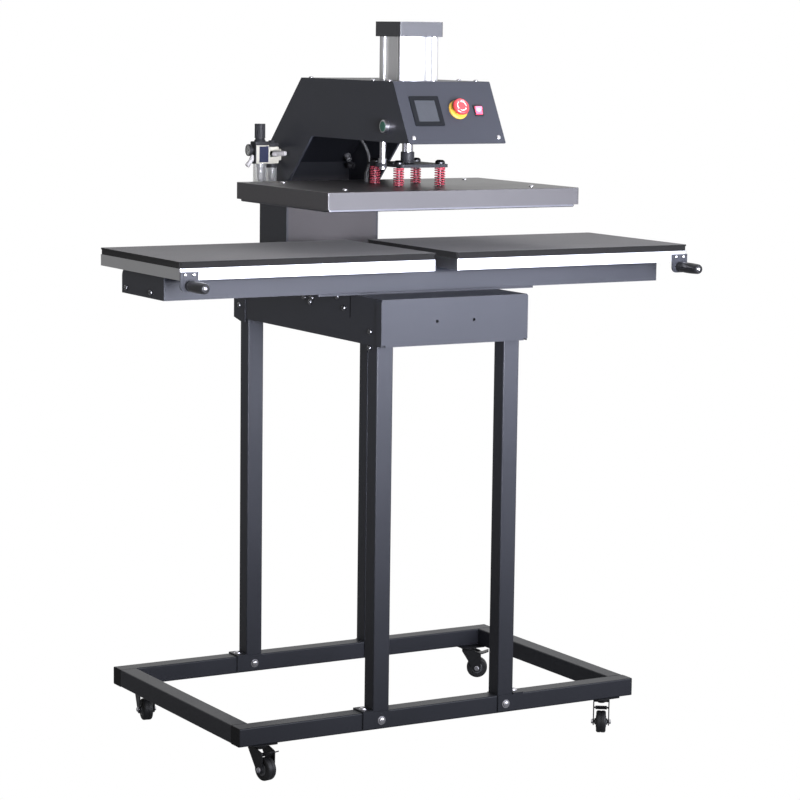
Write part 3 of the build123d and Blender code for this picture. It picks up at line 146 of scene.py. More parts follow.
class PressColours(bpy.types.PropertyGroup):
    """Colours of the press's finishes."""

    coat: colour("Powder coat", "Frame, stand and hood", 0.0172, 0.0182, 0.0230)
    platen: colour("Platen enamel", "Cover of the heated platen", 0.028, 0.026, 0.027)
    # The pad's pale tone stands partly for a painted sheen on the tops
    pad: colour("Pad", "Silicone pads on the tables", 0.250, 0.244, 0.242)
    aluminium: colour("Aluminium", "Tables and cylinder tube", 0.52, 0.52, 0.53)
    anodised: colour("Black anodised", "Cylinder caps, coupler and cross plate", 0.020, 0.020, 0.023)
    steel: colour("Bright steel", "Screws, rod and guide post", 0.56, 0.55, 0.58)
    spring: colour("Spring enamel", "Four pressure springs", 0.21, 0.032, 0.044)
    stop_head: colour("Stop button", "Head of the emergency stop", 0.42, 0.026, 0.030)
    stop_ring: colour("Stop ring", "Collar under the emergency stop", 0.36, 0.20, 0.026)
    rocker: colour("Power rocker", "Lit rocker of the power switch", 0.80, 0.060, 0.110)
    start: colour("Start button", "Cap of the start button", 0.010, 0.062, 0.040)
    plastic: colour("Black plastic", "Grips, caps, knob and casters", 0.014, 0.014, 0.015)
    glass: colour("Display glass", "Window of the display", 0.028, 0.030, 0.034)


class PressSizes(bpy.types.PropertyGroup):
    """Sizes of the fasteners and springs."""

    cover_screw: length("Cover screw", "Radius of the pan heads on the covers", 0.0055)
    plate_screw: length("Plate screw", "Radius of the socket button heads", 0.0065)
    bracket_screw: length("Bracket screw", "Radius of the pan heads on the handle brackets", 0.0042)
    grip_screw: length("Grip screw", "Radius of the pan heads in the grips", 0.0046)
    stand_bolt: length("Stand bolt", "Radius of the domed bolts of the stand", 0.0075)
    tie_bolt: length("Tie bolt", "Radius of the cylinder's socket bolts", 0.0056)
    spring_wire: length("Spring wire", "Thickness of the pressure springs' wire", 0.003)
    spring_across: length("Spring diameter", "Outer diameter of the pressure springs", 0.024)


class PressStage(bpy.types.PropertyGroup):
    """Camera and lamps."""

    lens: number("Lens", "Focal length on a 36 mm sensor", 122.16, unit="CAMERA")
    camera_turn: angle("Camera turn", "Heading of the camera, from straight ahead to the right", 30.23)
    camera_tip: angle("Camera tip", "How far the camera looks down", 7.71)
    camera_roll: angle("Camera roll", "Roll about the line of sight", 0.73)
    key_power: number("Key lamp", "Power of the soft lamp at the front right", 78, unit="POWER")
    top_power: number("Top lamp", "Power of the soft lamp overhead", 13, unit="POWER")
    front_power: number("Front lamp", "Power of the low lamp in front", 45, unit="POWER")
    key_tint: colour("Key tint", "Colour of the key lamp", 0.80, 0.84, 1.0)
    soft_tint: colour("Soft tint", "Colour of the other lamps", 0.87, 0.89, 1.0)
    card_glow: number("Card", "Brightness of the grey card beside the press's left", 0.34, subtype="FACTOR")
    fill: number("Fill", "Strength of the even light from all round", 0.42, subtype="FACTOR")


# Node helpers

class Wire:
    """An output socket of a shader that Python arithmetic can use."""

    def __init__(self, finish, socket):
        self.finish = finish
        self.socket = socket

    def __add__(self, other):
        return self.finish.maths("ADD", self, other)

    def __radd__(self, other):
        return self.finish.maths("ADD", other, self)

    def __sub__(self, other):
        return self.finish.maths("SUBTRACT", self, other)

    def __rsub__(self, other):
        return self.finish.maths("SUBTRACT", other, self)

    def __mul__(self, other):
        return self.finish.maths("MULTIPLY", self, other)

    def __rmul__(self, other):
        return self.finish.maths("MULTIPLY", other, self)


class Finish:
    """A material, or a world, whose nodes are added one call at a time."""

    def __init__(self, name, library="materials"):
        self.owner = getattr(bpy.data, library).new(name)
        self.owner.use_nodes = True
        self.tree = self.owner.node_tree
        self.tree.nodes.clear()

    def add(self, kind, settings=None, inputs=None):
        """Add a node: its settings first, then its sockets' values or links."""
        node = self.tree.nodes.new(kind)
        for key, value in (settings or {}).items():
            setattr(node, key, value)
        for key, value in (inputs or {}).items():
            if isinstance(value, Wire):
                self.tree.links.new(value.socket, node.inputs[key])
            else:
                node.inputs[key].default_value = value
        return node

    def wire(self, kind, output=0, **parts):
        """Add a node and hand back one of its outputs."""
        return Wire(self, self.add(kind, **parts).outputs[output])

    def maths(self, operation, first, second=0):
        """One sum, difference, product or comparison."""
        return self.wire("ShaderNodeMath", settings={"operation": operation}, inputs={0: first, 1: second})

    def place(self):
        """Object coordinates."""
        return self.wire("ShaderNodeTexCoord", "Object")

    def axis(self, vector, index):
        """One part of a vector: 0 for X, 1 for Y, 2 for Z."""
        return self.wire("ShaderNodeSeparateXYZ", index, inputs={"Vector": vector})

    def facing(self, index):
        """One part of the direction that the surface faces."""
        return self.axis(self.wire("ShaderNodeNewGeometry", "Normal"), index)

    def stretched(self, scale):
        """Object coordinates drawn out along an axis."""
        return self.wire("ShaderNodeMapping", inputs={"Vector": self.place(), "Scale": scale})

    def noise(self, where, scale, detail=2.0, roughness=0.5):
        """Smooth noise from 0 to 1."""
        return self.wire(
            "ShaderNodeTexNoise",
            inputs={"Vector": where, "Scale": scale, "Detail": detail, "Roughness": roughness},
        )

    def cells(self, where, scale):
        """Distance to the nearest point of a scatter."""
        return self.wire("ShaderNodeTexVoronoi", inputs={"Vector": where, "Scale": scale})

    def between(self, value, low, high):
        """A smooth step from 0 at one value to 1 at another."""
        return self.wire(
            "ShaderNodeMapRange",
            settings={"interpolation_type": "SMOOTHSTEP"},
            inputs={"Value": value, "From Min": low, "From Max": high},
        )

    def blend(self, factor, first, second):
        """Mix two colours."""
        inputs = {0: factor, 6: first, 7: second}
        return self.wire("ShaderNodeMix", 2, settings={"data_type": "RGBA"}, inputs=inputs)

    def varied(self, pattern, tone, low, high):
        """A tone that a pattern makes darker or lighter."""
        return self.blend(pattern, shade(tone, low), shade(tone, high))

    def bump(self, height, depth, strength):
        """Surface relief of a given depth in metres."""
        return self.wire("ShaderNodeBump", inputs={"Height": height, "Distance": depth, "Strength": strength})

    def most(self, first, *others):
        """The largest of several values."""
        for other in others:
            first = self.maths("MAXIMUM", first, other)
        return first

    def rays(self, *kinds):
        """1 for rays of the given kinds and 0 for all others."""
        path = self.add("ShaderNodeLightPath")
        return self.most(*(Wire(self, path.outputs[kind]) for kind in kinds))

    def done(self, **sockets):
        """Finish with the usual surface shader."""
        inputs = {key.replace("_", " "): value for key, value in sockets.items()}
        return self.surface(self.wire("ShaderNodeBsdfPrincipled", inputs=inputs))

    def surface(self, shader):
        """Finish with a given shader."""
        self.add("ShaderNodeOutputMaterial", inputs={"Surface": shader})
        return self.owner


def shade(tone, factor):
    """A colour made darker or lighter."""
    return tuple(min(1, channel * factor) for channel in tone[:3]) + (1,)


# Finishes

def coat_marks(coat):
    """Object coordinates, slow drift and fine grain of a powder coat."""
    place = coat.place()
    return place, coat.noise(place, 6.0, 3.0), coat.noise(place, 2200.0, 2.0, 0.6)


def coated_steel(name, tone, gloss=0.42, level=0.26):
    """Fine textured powder coat: tiny grains, slow changes of gloss and a little dust on top."""
    coat = Finish(name)
    place, drift, grain = coat_marks(coat)
    peel = coat.noise(place, 420.0, 1.0)
    speck = coat.between(coat.cells(place, 900.0), 0.10, 0.04)
    tint = coat.varied(drift, tone, 0.86, 1.16)
    tint = coat.blend(speck * 0.35, tint, shade(tone, 2.0))
    return coat.done(
        Base_Color=tint,
        Roughness=gloss + (drift - 0.5) * 0.10 + (grain - 0.5) * 0.06,
        Specular_IOR_Level=level,
        Normal=coat.bump(grain * 0.6 + peel * 0.4, 0.00012, 0.8),
    )


def column_steel_painted_light_and_shade(name, tone):
    """Coat of the column, with painted light and painted shade: the front faces in the throat, above the
    platen, are painted dark, and the rest a lighter grey than the other coat.
    """
    coat = Finish(name)
    place, drift, grain = coat_marks(coat)
    platen_low, platen_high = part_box("platen_cover")
    above = coat.between(coat.axis(place, 2), platen_low.z, platen_high.z)
    # Painted shade: 1 on front faces above the platen, where the throat's shade falls
    painted_throat_shade = above * coat.maths("LESS_THAN", coat.facing(1), 0)
    # Painted light: fixed greys, lighter than the other coat, so that the column below the platen reads
    # brighter
    tint = coat.blend(drift, (0.046, 0.043, 0.044, 1), (0.055, 0.051, 0.052, 1))
    return coat.done(
        Base_Color=coat.blend(painted_throat_shade, tint, shade(tone, 0.30)),
        Roughness=0.50 + (drift - 0.5) * 0.10,
        Specular_IOR_Level=0.05,
        Normal=coat.bump(grain, 0.00012, 0.8),
    )


def seamed_steel(name, tone):
    """Coated side plates with the dark seam between their two lengths."""
    coat = Finish(name)
    place, drift, grain = coat_marks(coat)
    seam_y, seam_foot, seam_half = spot(0, -205.5, 0).y, 0.962, 0.0022
    offset = coat.maths("ABSOLUTE", coat.axis(place, 1) - seam_y)
    beside_seam = coat.between(offset, seam_half, seam_half / 2)
    seam = beside_seam * coat.between(coat.axis(place, 2), seam_foot, seam_foot + 0.001)
    tint = coat.varied(drift, tone, 0.86, 1.16)
    return coat.done(
        Base_Color=coat.blend(seam, tint, (0.001, 0.001, 0.001, 1)),
        Metallic=seam,
        Roughness=0.42 + (drift - 0.5) * 0.10 + seam * 0.5,
        Specular_IOR_Level=0.26,
        Normal=coat.bump(grain * 0.1 - seam, 0.0008, 0.8),
    )


def drawn_tube(name, tone):
    """Drawn aluminium profile with fine lines beside its rounded corners, sunk a little and painted dark as
    painted shade.
    """
    part = Finish(name)
    place = part.place()
    low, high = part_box("cylinder_tube")
    line_offset = (high.x - low.x) / 2 * 0.80
    middle = (low + high) / 2
    near = []
    for axis in (0, 1):
        offset = part.maths("ABSOLUTE", part.axis(place, axis) - middle[axis])
        near.append(part.between(part.maths("ABSOLUTE", offset - line_offset), 0.0016, 0.0006))
    painted_line_shade = part.most(*near)
    marks = part.noise(part.stretched((1, 1, 0.03)), 900.0, 3.0, 0.6)
    tint = part.varied(marks, tone, 0.98, 1.14)
    return part.done(
        # Painted shade: the lines are painted nearly black
        Base_Color=part.blend(painted_line_shade, tint, shade(tone, 0.15)),
        Metallic=1.0,
        Roughness=0.32 + (marks - 0.5) * 0.16,
        Normal=part.bump(marks * 0.1 - painted_line_shade, 0.0004, 0.6),
    )


def moulded_plastic(name, tone, gloss=0.38, grain_depth=0.00005, level=0.45):
    """Moulded plastic with a faint spark texture."""
    part = Finish(name)
    place = part.place()
    drift = part.noise(place, 30.0, 2.0)
    grain = part.noise(place, 1500.0, 2.0)
    return part.done(
        Base_Color=part.varied(drift, tone, 0.88, 1.12),
        Roughness=gloss + (drift - 0.5) * 0.12,
        Specular_IOR_Level=level,
        Normal=part.bump(grain, grain_depth, 0.7),
    )


def brushed_metal(name, tone, stretch, gloss=0.32, depth=0.00004):
    """Metal with fine marks drawn out along one axis."""
    part = Finish(name)
    marks = part.noise(part.stretched(stretch), 900.0, 3.0, 0.6)
    drift = part.noise(part.place(), 8.0, 3.0)
    return part.done(
        Base_Color=part.varied(marks * 0.6 + drift * 0.4, tone, 0.88, 1.06),
        Metallic=1.0,
        Roughness=gloss + (marks - 0.5) * 0.16 + (drift - 0.5) * 0.08,
        Normal=part.bump(marks, depth, 0.6),
    )


def bright_metal(name, tone, gloss=0.16):
    """Plated or polished metal with faint wear."""
    part = Finish(name)
    place = part.place()
    drift = part.noise(place, 60.0, 3.0)
    scuff = part.noise(place, 1400.0, 3.0, 0.7)
    return part.done(
        Base_Color=part.varied(drift, tone, 0.90, 1.08),
        Metallic=1.0,
        Roughness=gloss + (scuff - 0.5) * 0.10 + (drift - 0.5) * 0.08,
        Normal=part.bump(scuff, 0.00002, 0.4),
    )


def silicone_pad(name, tone):
    """Silicone foam with a fine open skin, slow patches of wear and a dark cut edge; the edge is painted
    darker still where it faces the front, as painted shade, and the pale tops stand partly for a painted
    sheen.
    """
    pad = Finish(name)
    place = pad.place()
    drift = pad.noise(place, 5.0, 4.0)
    pores = pad.cells(place, 1100.0)
    grain = pad.noise(place, 700.0, 3.0, 0.7)
    tint = pad.varied(drift, tone, 0.90, 1.12)
    tint = pad.blend(pad.between(pores, 0.45, 0.75) * 0.25, tint, shade(tone, 1.5))
    # Painted shade: cut edges that face the front take under a third of the other edges' tone
    cut_edge_and_painted_shade = pad.blend(pad.between(pad.facing(1), -0.3, -0.7), shade(tone, 0.12), shade(tone, 0.035))
    return pad.done(
        # Tops take the pad's full tone, pale partly as painted sheen; sides take the cut edge
        Base_Color=pad.blend(pad.between(pad.facing(2), 0.3, 0.7), cut_edge_and_painted_shade, tint),
        Roughness=0.80 + (grain - 0.5) * 0.16,
        Specular_IOR_Level=0.06,
        Normal=pad.bump(pores * 0.6 + grain * 0.4, 0.00022, 0.8),
    )


def lit_plastic(name, tone, glow, lamp):
    """Clear coloured plastic that glows from a small lamp behind it; its pale middle is partly the lamp's
    glow and partly a painted highlight.
    """
    part = Finish(name)
    place = part.place()
    drift = part.noise(place, 120.0, 1.0)
    away = part.wire(
        "ShaderNodeVectorMath", "Value", settings={"operation": "DISTANCE"}, inputs={0: place, 1: lamp}
    )
    tint = part.varied(drift, tone, 0.85, 1.1)
    # Pale middle: partly the lamp's glow, partly a painted highlight
    tint = part.blend(part.between(away, 0.0070, 0.0025), tint, (0.95, 0.62, 0.74, 1))
    return part.done(
        Base_Color=tint,
        Roughness=0.14 + drift * 0.08,
        Emission_Color=tint,
        Emission_Strength=glow,
        Coat_Weight=0.5,
    )


def dark_window(name, tone):
    """Display window: smooth glass over a grey panel."""
    part = Finish(name)
    haze = part.noise(part.place(), 45.0, 3.0)
    return part.done(
        Base_Color=part.varied(haze, tone, 0.9, 1.1),
        Roughness=0.16 + haze * 0.06,
        Specular_IOR_Level=0.20,
    )


def clear_bowl(name):
    """Clear polycarbonate, slightly smoked."""
    part = Finish(name)
    haze = part.noise(part.place(), 90.0, 2.0)
    return part.done(
        Base_Color=part.blend(haze, (0.70, 0.70, 0.69, 1), (0.80, 0.80, 0.79, 1)),
        Roughness=0.05 + haze * 0.08,
        Transmission_Weight=0.9,
        IOR=1.45,
    )


def lead_sleeve(name, tone, gland_top):
    """Black lead, and the pale nylon gland that it leaves from."""
    part = Finish(name)
    place = part.place()
    above = part.between(part.axis(place, 2), gland_top - 0.0002, gland_top)
    rings = part.wire(
        "ShaderNodeTexWave", 1, settings={"bands_direction": "Z"}, inputs={"Vector": place, "Scale": 200.0}
    )
    grain = part.noise(place, 900.0, 2.0)
    return part.done(
        Base_Color=part.blend(above, (0.34, 0.34, 0.33, 1), tone),
        Roughness=0.50 + grain * 0.15,
        Specular_IOR_Level=0.15,
        Normal=part.bump(rings * (1 - above) + grain * 0.1, 0.0006, 0.8),
    )


def finish_named(name):
    """The material of that name, made the first time it is asked for."""
    found = bpy.data.materials.get(name)
    if found:
        return found
    tones = bpy.context.scene.press_colours
    gland_height = 0.022
    gland_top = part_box("platen_cover")[1].z + gland_height
    along_x = (0.03, 1, 1)
    # Each finish: what makes it, its tone, and then its gloss, depth and level where they aren't the usual
    finishes = {
        "powder_coat": (coated_steel, tones.coat),
        "column_coat": (column_steel_painted_light_and_shade, tones.coat),
        "side_plate_coat": (seamed_steel, tones.coat),
        "platen_enamel": (coated_steel, tones.platen, 0.38, 0.40),
        "table_pad": (silicone_pad, tones.pad),
        "table_aluminium": (brushed_metal, tones.aluminium, along_x, 0.34),
        "tube_aluminium": (drawn_tube, shade(tones.aluminium, 1.4)),
        "black_anodised": (coated_steel, tones.anodised, 0.42, 0.50),
        "blacked_steel": (coated_steel, shade(tones.anodised, 0.6), 0.46, 0.10),
        "caster_steel": (coated_steel, tones.plastic, 0.30, 0.32),
        "ground_steel": (brushed_metal, tones.steel, (0.04, 1, 1), 0.30),
        "heater_plate": (brushed_metal, (0.10, 0.10, 0.11, 1), along_x, 0.40),
        "polished_steel": (bright_metal, shade(tones.steel, 0.85), 0.18),
        "post_steel": (bright_metal, shade(tones.steel, 0.72), 0.26),
        "screw_steel": (bright_metal, tones.steel, 0.22),
        "black_screw": (bright_metal, (0.22, 0.22, 0.23, 1), 0.34),
        "black_bolt": (bright_metal, (0.035, 0.035, 0.037, 1), 0.36),
        "spring_enamel": (moulded_plastic, tones.spring, 0.46, 0.00002, 0.18),
        "stop_red": (moulded_plastic, tones.stop_head, 0.22, 0.00001, 0.6),
        "stop_yellow": (moulded_plastic, tones.stop_ring, 0.34),
        "rocker_red": (lit_plastic, tones.rocker, 0.7, middle_of("switch_rocker")),
        "start_green": (moulded_plastic, tones.start, 0.30, 0.00001, 0.40),
        "black_plastic": (moulded_plastic, tones.plastic, 0.50, 0.00002, 0.08),
        "gloss_plastic": (moulded_plastic, tones.plastic, 0.30, 0.00001, 0.26),
        "display_frame": (moulded_plastic, (0.006, 0.0065, 0.0075, 1), 0.46, 0.00002, 0.06),
        "display_window": (dark_window, tones.glass),
        "tyre_rubber": (moulded_plastic, (0.020, 0.020, 0.021, 1), 0.45, 0.00005, 0.30),
        "wheel_hub": (moulded_plastic, (0.100, 0.102, 0.108, 1), 0.36),
        "air_body": (moulded_plastic, (0.24, 0.23, 0.195, 1), 0.42, 0.00002, 0.12),
        "air_blue": (moulded_plastic, (0.008, 0.010, 0.024, 1), 0.45, 0.00002, 0.10),
        "mark_white": (moulded_plastic, (0.72, 0.70, 0.68, 1), 0.35),
        "pale_nylon": (moulded_plastic, (0.26, 0.25, 0.245, 1), 0.42, 0.00002, 0.15),
        # Nylon painted dark grey: painted shade for the fitting deep in the throat
        "smoky_nylon": (moulded_plastic, (0.060, 0.060, 0.062, 1), 0.34, 0.00002, 0.40),
        "gauge_face": (moulded_plastic, (0.62, 0.62, 0.60, 1), 0.45),
        "clear_bowl": (clear_bowl,),
        "heater_lead": (lead_sleeve, tones.plastic, gland_top),
    }
    maker, *values = finishes[name]
    return maker(name, *values)


def coat(finish, *nodes):
    """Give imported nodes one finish."""
    for node in nodes:
        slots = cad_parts[node].data.materials
        slots.clear()
        slots.append(finish_named(finish))


# Mesh helpers

def beyond(point, x, y, z):
    """A point some millimetres away from another."""
    return point + Vector((x, y, z)) * MM


def at(point, x=0, y=0, z=0):
    """Place of an upright shape, some millimetres away from a point."""
    return Matrix.Translation(beyond(point, x, y, z))


def seat(point, direction):
    """Place of a shape that stands at a point, its Z along a direction."""
    return Matrix.Translation(point) @ Vector(direction).to_track_quat("Z", "Y").to_matrix().to_4x4()


def linked(name, data):
    """A new object in the scene."""
    thing = bpy.data.objects.new(name, data)
    bpy.context.scene.collection.objects.link(thing)
    return thing


def evaluated_mesh(thing):
    """Plain mesh of an object with its modifiers applied."""
    return bpy.data.meshes.new_from_object(thing.evaluated_get(bpy.context.evaluated_depsgraph_get()))


def piece_from(name, mesh, finish, body, smooth=40):
    """A named piece from a finished mesh, with its finish, riding on a body."""
    mesh.name = name
    mesh.materials.clear()
    mesh.materials.append(finish_named(finish))
    mesh.shade_smooth()
    mesh.set_sharp_from_angle(angle=math.radians(smooth))
    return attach(linked(name, mesh), body)


def mesh_from(shape, place=UPRIGHT):
    """Mesh of a shape, moved to its place."""
    mesh = bpy.data.meshes.new("shape")
    shape.to_mesh(mesh)
    shape.free()
    mesh.transform(place)
    return mesh


def lathe(profile, place=UPRIGHT, segments=48, unit=MM, ring=False):
    """Solid turned about Z from (radius, height) points: from axis to axis, or a closed ring."""
    shape = bmesh.new()
    rows = []
    for radius, height in profile:
        turns = [FULL_TURN * step / segments for step in range(segments if radius else 1)]
        rows.append([
            shape.verts.new((radius * unit * math.cos(a), radius * unit * math.sin(a), height * unit))
            for a in turns
        ])
    for lower, upper in zip(rows, rows[1:] + (rows[:1] if ring else [])):
        for step in range(segments):
            following = (step + 1) % segments
            corners = [lower[step % len(lower)], lower[following % len(lower)]]
            corners += [upper[following % len(upper)], upper[step % len(upper)]]
            # A point on the axis stands for two corners
            shape.faces.new(list(dict.fromkeys(corners)))
    bmesh.ops.recalc_face_normals(shape, faces=shape.faces)
    return mesh_from(shape, place)


def disc(radius, bottom, top):
    """Profile of a plain disc or, with few segments, of a prism."""
    return [(0, bottom), (radius, bottom), (radius, top), (0, top)]


def quarter(radius, height, reach, rise, start, steps=8):
    """Points of a quarter round in a profile, from a start angle in degrees on."""
    turns = [math.radians(start + 90 * step / steps) for step in range(steps + 1)]
    return [(radius + reach * math.cos(a), height + rise * math.sin(a)) for a in turns]


def mirrored(profile):
    """A profile followed by its own image on the other side of height 0."""
    return profile + [(radius, -height) for radius, height in reversed(profile)]


def joined(meshes):
    """One mesh from several."""
    shape = bmesh.new()
    for mesh in meshes:
        shape.from_mesh(mesh)
        bpy.data.meshes.remove(mesh)
    return mesh_from(shape)


def block(size, place, edge, steps=2, unit=MM):
    """A block with rounded edges, its middle at the origin of its place."""
    shape = bmesh.new()
    bmesh.ops.create_cube(shape, size=1)
    bmesh.ops.scale(shape, vec=Vector(size) * unit, verts=shape.verts)
    edges = list(shape.edges)
    bmesh.ops.bevel(shape, geom=edges, offset=edge * unit, segments=steps, profile=0.5, affect="EDGES")
    return mesh_from(shape, place)


def plate(outline, thickness, place):
    """Flat plate cut to an outline of (x, y) points, lying on its place."""
    shape = bmesh.new()
    low, high = ([shape.verts.new((x * MM, y * MM, z * MM)) for x, y in outline] for z in (0, thickness))
    shape.faces.new(list(reversed(low)))
    shape.faces.new(high)
    for index in range(len(outline)):
        following = (index + 1) % len(outline)
        shape.faces.new((low[index], low[following], high[following], high[index]))
    bmesh.ops.recalc_face_normals(shape, faces=shape.faces)
    return mesh_from(shape, place)


def cut(mesh, tool):
    """A mesh with another cut out of it."""
    body = linked("cut_body", mesh)
    knife = linked("cut_tool", tool)
    step = body.modifiers.new("cut", "BOOLEAN")
    step.operation = "DIFFERENCE"
    step.solver = "EXACT"
    step.object = knife
    done = evaluated_mesh(body)
    for thing in (body, knife):
        bpy.data.objects.remove(thing)
    for used in (mesh, tool):
        bpy.data.meshes.remove(used)
    return done


def cross_blade(reach, width, bottom, top):
    """Cross-shaped cutter for a cross recess."""
    height = top - bottom
    middle = Matrix.Translation((0, 0, (top + bottom) / 2))
    # The second blade is a hair larger, so that no two faces of the cutter coincide
    return joined([
        block((reach * 2, width, height), middle, width * 0.2, 1, 1),
        block((width, reach * 2.001, height * 1.001), middle, width * 0.2, 1, 1),
    ])


def head_mesh(kind):
    """Head of a fastener with a radius of 1, standing on Z 0."""
    if kind == "pan":
        profile = [(0, 0), (0.98, 0), (1, 0.06), (0.97, 0.30), (0.84, 0.48), (0.58, 0.60)]
        profile += [(0.30, 0.64), (0, 0.65)]
        return cut(lathe(profile, segments=24, unit=1), cross_blade(0.55, 0.16, 0.34, 1))
    if kind == "button":
        profile = [(0, 0), (0.98, 0), (1, 0.08), (0.93, 0.30), (0.76, 0.48), (0.54, 0.56), (0, 0.57)]
        return cut(lathe(profile, segments=24, unit=1), lathe(disc(0.42, 0.22, 1), segments=6, unit=1))
    if kind == "dome":
        profile = [(0, 0), (1.28, 0), (1.30, 0.06), (1.26, 0.13), (1, 0.14), (0.97, 0.32)]
        profile += [(0.84, 0.52), (0.62, 0.64), (0.34, 0.70), (0, 0.72)]
        return lathe(profile, segments=28, unit=1)
    profile = [(0, 0), (1, 0), (1, 0.86), (0.90, 1), (0, 1)]
    return cut(lathe(profile, segments=28, unit=1), lathe(disc(0.56, 0.45, 1.5), segments=6, unit=1))


# Geometry node trees

def node_tree(name, inputs, output):
    """Empty tree with its named sockets, and the node that they enter by."""
    tree = bpy.data.node_groups.new(name, "GeometryNodeTree")
    for label, kind in inputs:
        tree.interface.new_socket(label, in_out="INPUT", socket_type=f"NodeSocket{kind}")
    tree.interface.new_socket(output, in_out="OUTPUT", socket_type="NodeSocketGeometry")
    return tree, tree.nodes.new("NodeGroupInput")


def link_up(tree, *links):
    """Link nodes, each link as (node, output, node, input)."""
    for source, output, target, entry in links:
        tree.links.new(source.outputs[output], target.inputs[entry])


def finish_tree(tree, enter, last, output):
    """End a tree: realize what its last node makes, give it its finish and hand it on."""
    realize = tree.nodes.new("GeometryNodeRealizeInstances")
    paint = tree.nodes.new("GeometryNodeSetMaterial")
    leave = tree.nodes.new("NodeGroupOutput")
    link_up(
        tree,
        (last, output, realize, "Geometry"),
        (realize, "Geometry", paint, "Geometry"),
        (enter, "Finish", paint, "Material"),
        (paint, "Geometry", leave, 0),
    )
    return tree


def attribute_node(tree, name, kind):
    """Node that reads a named attribute of the points."""
    node = tree.nodes.new("GeometryNodeInputNamedAttribute")
    node.data_type = kind
    node.inputs["Name"].default_value = name
    return node


def fastener_tree():
    """Geometry nodes that set one head on every point, facing the way that the point says."""
    inputs = (("Points", "Geometry"), ("Head", "Object"), ("Radius", "Float"), ("Finish", "Material"))
    tree, enter = node_tree("fasteners", inputs, "Fasteners")
    head = tree.nodes.new("GeometryNodeObjectInfo")
    facing = attribute_node(tree, "facing", "FLOAT_VECTOR")
    turn = attribute_node(tree, "turn", "FLOAT")
    spin = tree.nodes.new("FunctionNodeAxisAngleToRotation")
    align = tree.nodes.new("FunctionNodeAlignRotationToVector")
    align.axis = "Z"
    place = tree.nodes.new("GeometryNodeInstanceOnPoints")
    link_up(
        tree,
        (enter, "Head", head, "Object"),
        (turn, "Attribute", spin, "Angle"),
        (spin, "Rotation", align, "Rotation"),
        (facing, "Attribute", align, "Vector"),
        (enter, "Points", place, "Points"),
        (head, "Geometry", place, "Instance"),
        (align, "Rotation", place, "Rotation"),
        (enter, "Radius", place, "Scale"),
    )
    return finish_tree(tree, enter, place, "Instances")


def coil_tree():
    """Geometry nodes that carry a round wire along a path."""
    inputs = (("Path", "Geometry"), ("Wire radius", "Float"), ("Finish", "Material"))
    tree, enter = node_tree("wire", inputs, "Wire")
    line = tree.nodes.new("GeometryNodeMeshToCurve")
    ring = tree.nodes.new("GeometryNodeCurvePrimitiveCircle")
    ring.inputs["Resolution"].default_value = 12
    sweep = tree.nodes.new("GeometryNodeCurveToMesh")
    sweep.inputs["Fill Caps"].default_value = True
    link_up(
        tree,
        (enter, "Path", line, "Mesh"),
        (enter, "Wire radius", ring, "Radius"),
        (line, "Curve", sweep, "Curve"),
        (ring, "Curve", sweep, "Profile Curve"),
    )
    return finish_tree(tree, enter, sweep, "Mesh")


def grown(tree, carrier_mesh, values):
    """Plain mesh that a tree makes from a carrier's mesh and the values of its inputs."""
    carrier = linked("carrier", carrier_mesh)
    step = carrier.modifiers.new(tree.name, "NODES")
    step.node_group = tree
    for item in tree.interface.items_tree:
        if item.in_out == "INPUT" and item.name in values:
            step[item.identifier] = values[item.name]
    mesh = evaluated_mesh(carrier)
    carrier.modifiers.remove(step)
    bpy.data.objects.remove(carrier)
    return mesh


def fasteners(name, kind, radius, finish, body, places, smooth=35):
    """Heads of one kind at (point, direction) places, as one piece on one body."""
    tree = bpy.data.node_groups.get("fasteners") or fastener_tree()
    points = bpy.data.meshes.new("points")
    points.from_pydata([tuple(point) for point, _ in places], [], [])
    points.attributes.new("facing", "FLOAT_VECTOR", "POINT")
    points.attributes.new("turn", "FLOAT", "POINT")
    facing = points.attributes["facing"].data
    turn = points.attributes["turn"].data
    # Each recess is turned by this much more than the one before it
    turn_step = 1.7
    for index, (_, direction) in enumerate(places):
        facing[index].vector = direction
        turn[index].value = (index * turn_step) % FULL_TURN
    head = linked("head", head_mesh(kind))
    mesh = grown(tree, points, {"Head": head, "Radius": radius, "Finish": finish_named(finish)})
    bpy.data.objects.remove(head)
    return piece_from(name, mesh, finish, body, smooth)


def coil_points(centre, coil_radius, bottom, top, active_turns, closed_turns, wire, steps=28):
    """Points of a compression spring whose end turns lie closed on the plates."""
    total = active_turns + 2 * closed_turns
    span = top - bottom - wire
    closed_pitch = wire * 1.04
    closed_rise = closed_turns * closed_pitch
    count = round(total * steps)
    points = []
    for index in range(count + 1):
        turn = total * index / count
        if turn < closed_turns:
            height = closed_rise * turn / closed_turns
        elif turn > total - closed_turns:
            height = span - closed_rise * (total - turn) / closed_turns
        else:
            height = closed_rise + (span - 2 * closed_rise) * (turn - closed_turns) / active_turns
        across = Vector((math.cos(FULL_TURN * turn), math.sin(FULL_TURN * turn), 0)) * coil_radius
        points.append(centre + across + UP * (bottom + wire / 2 + height))
    return points


# Operators, one for each group of like pieces

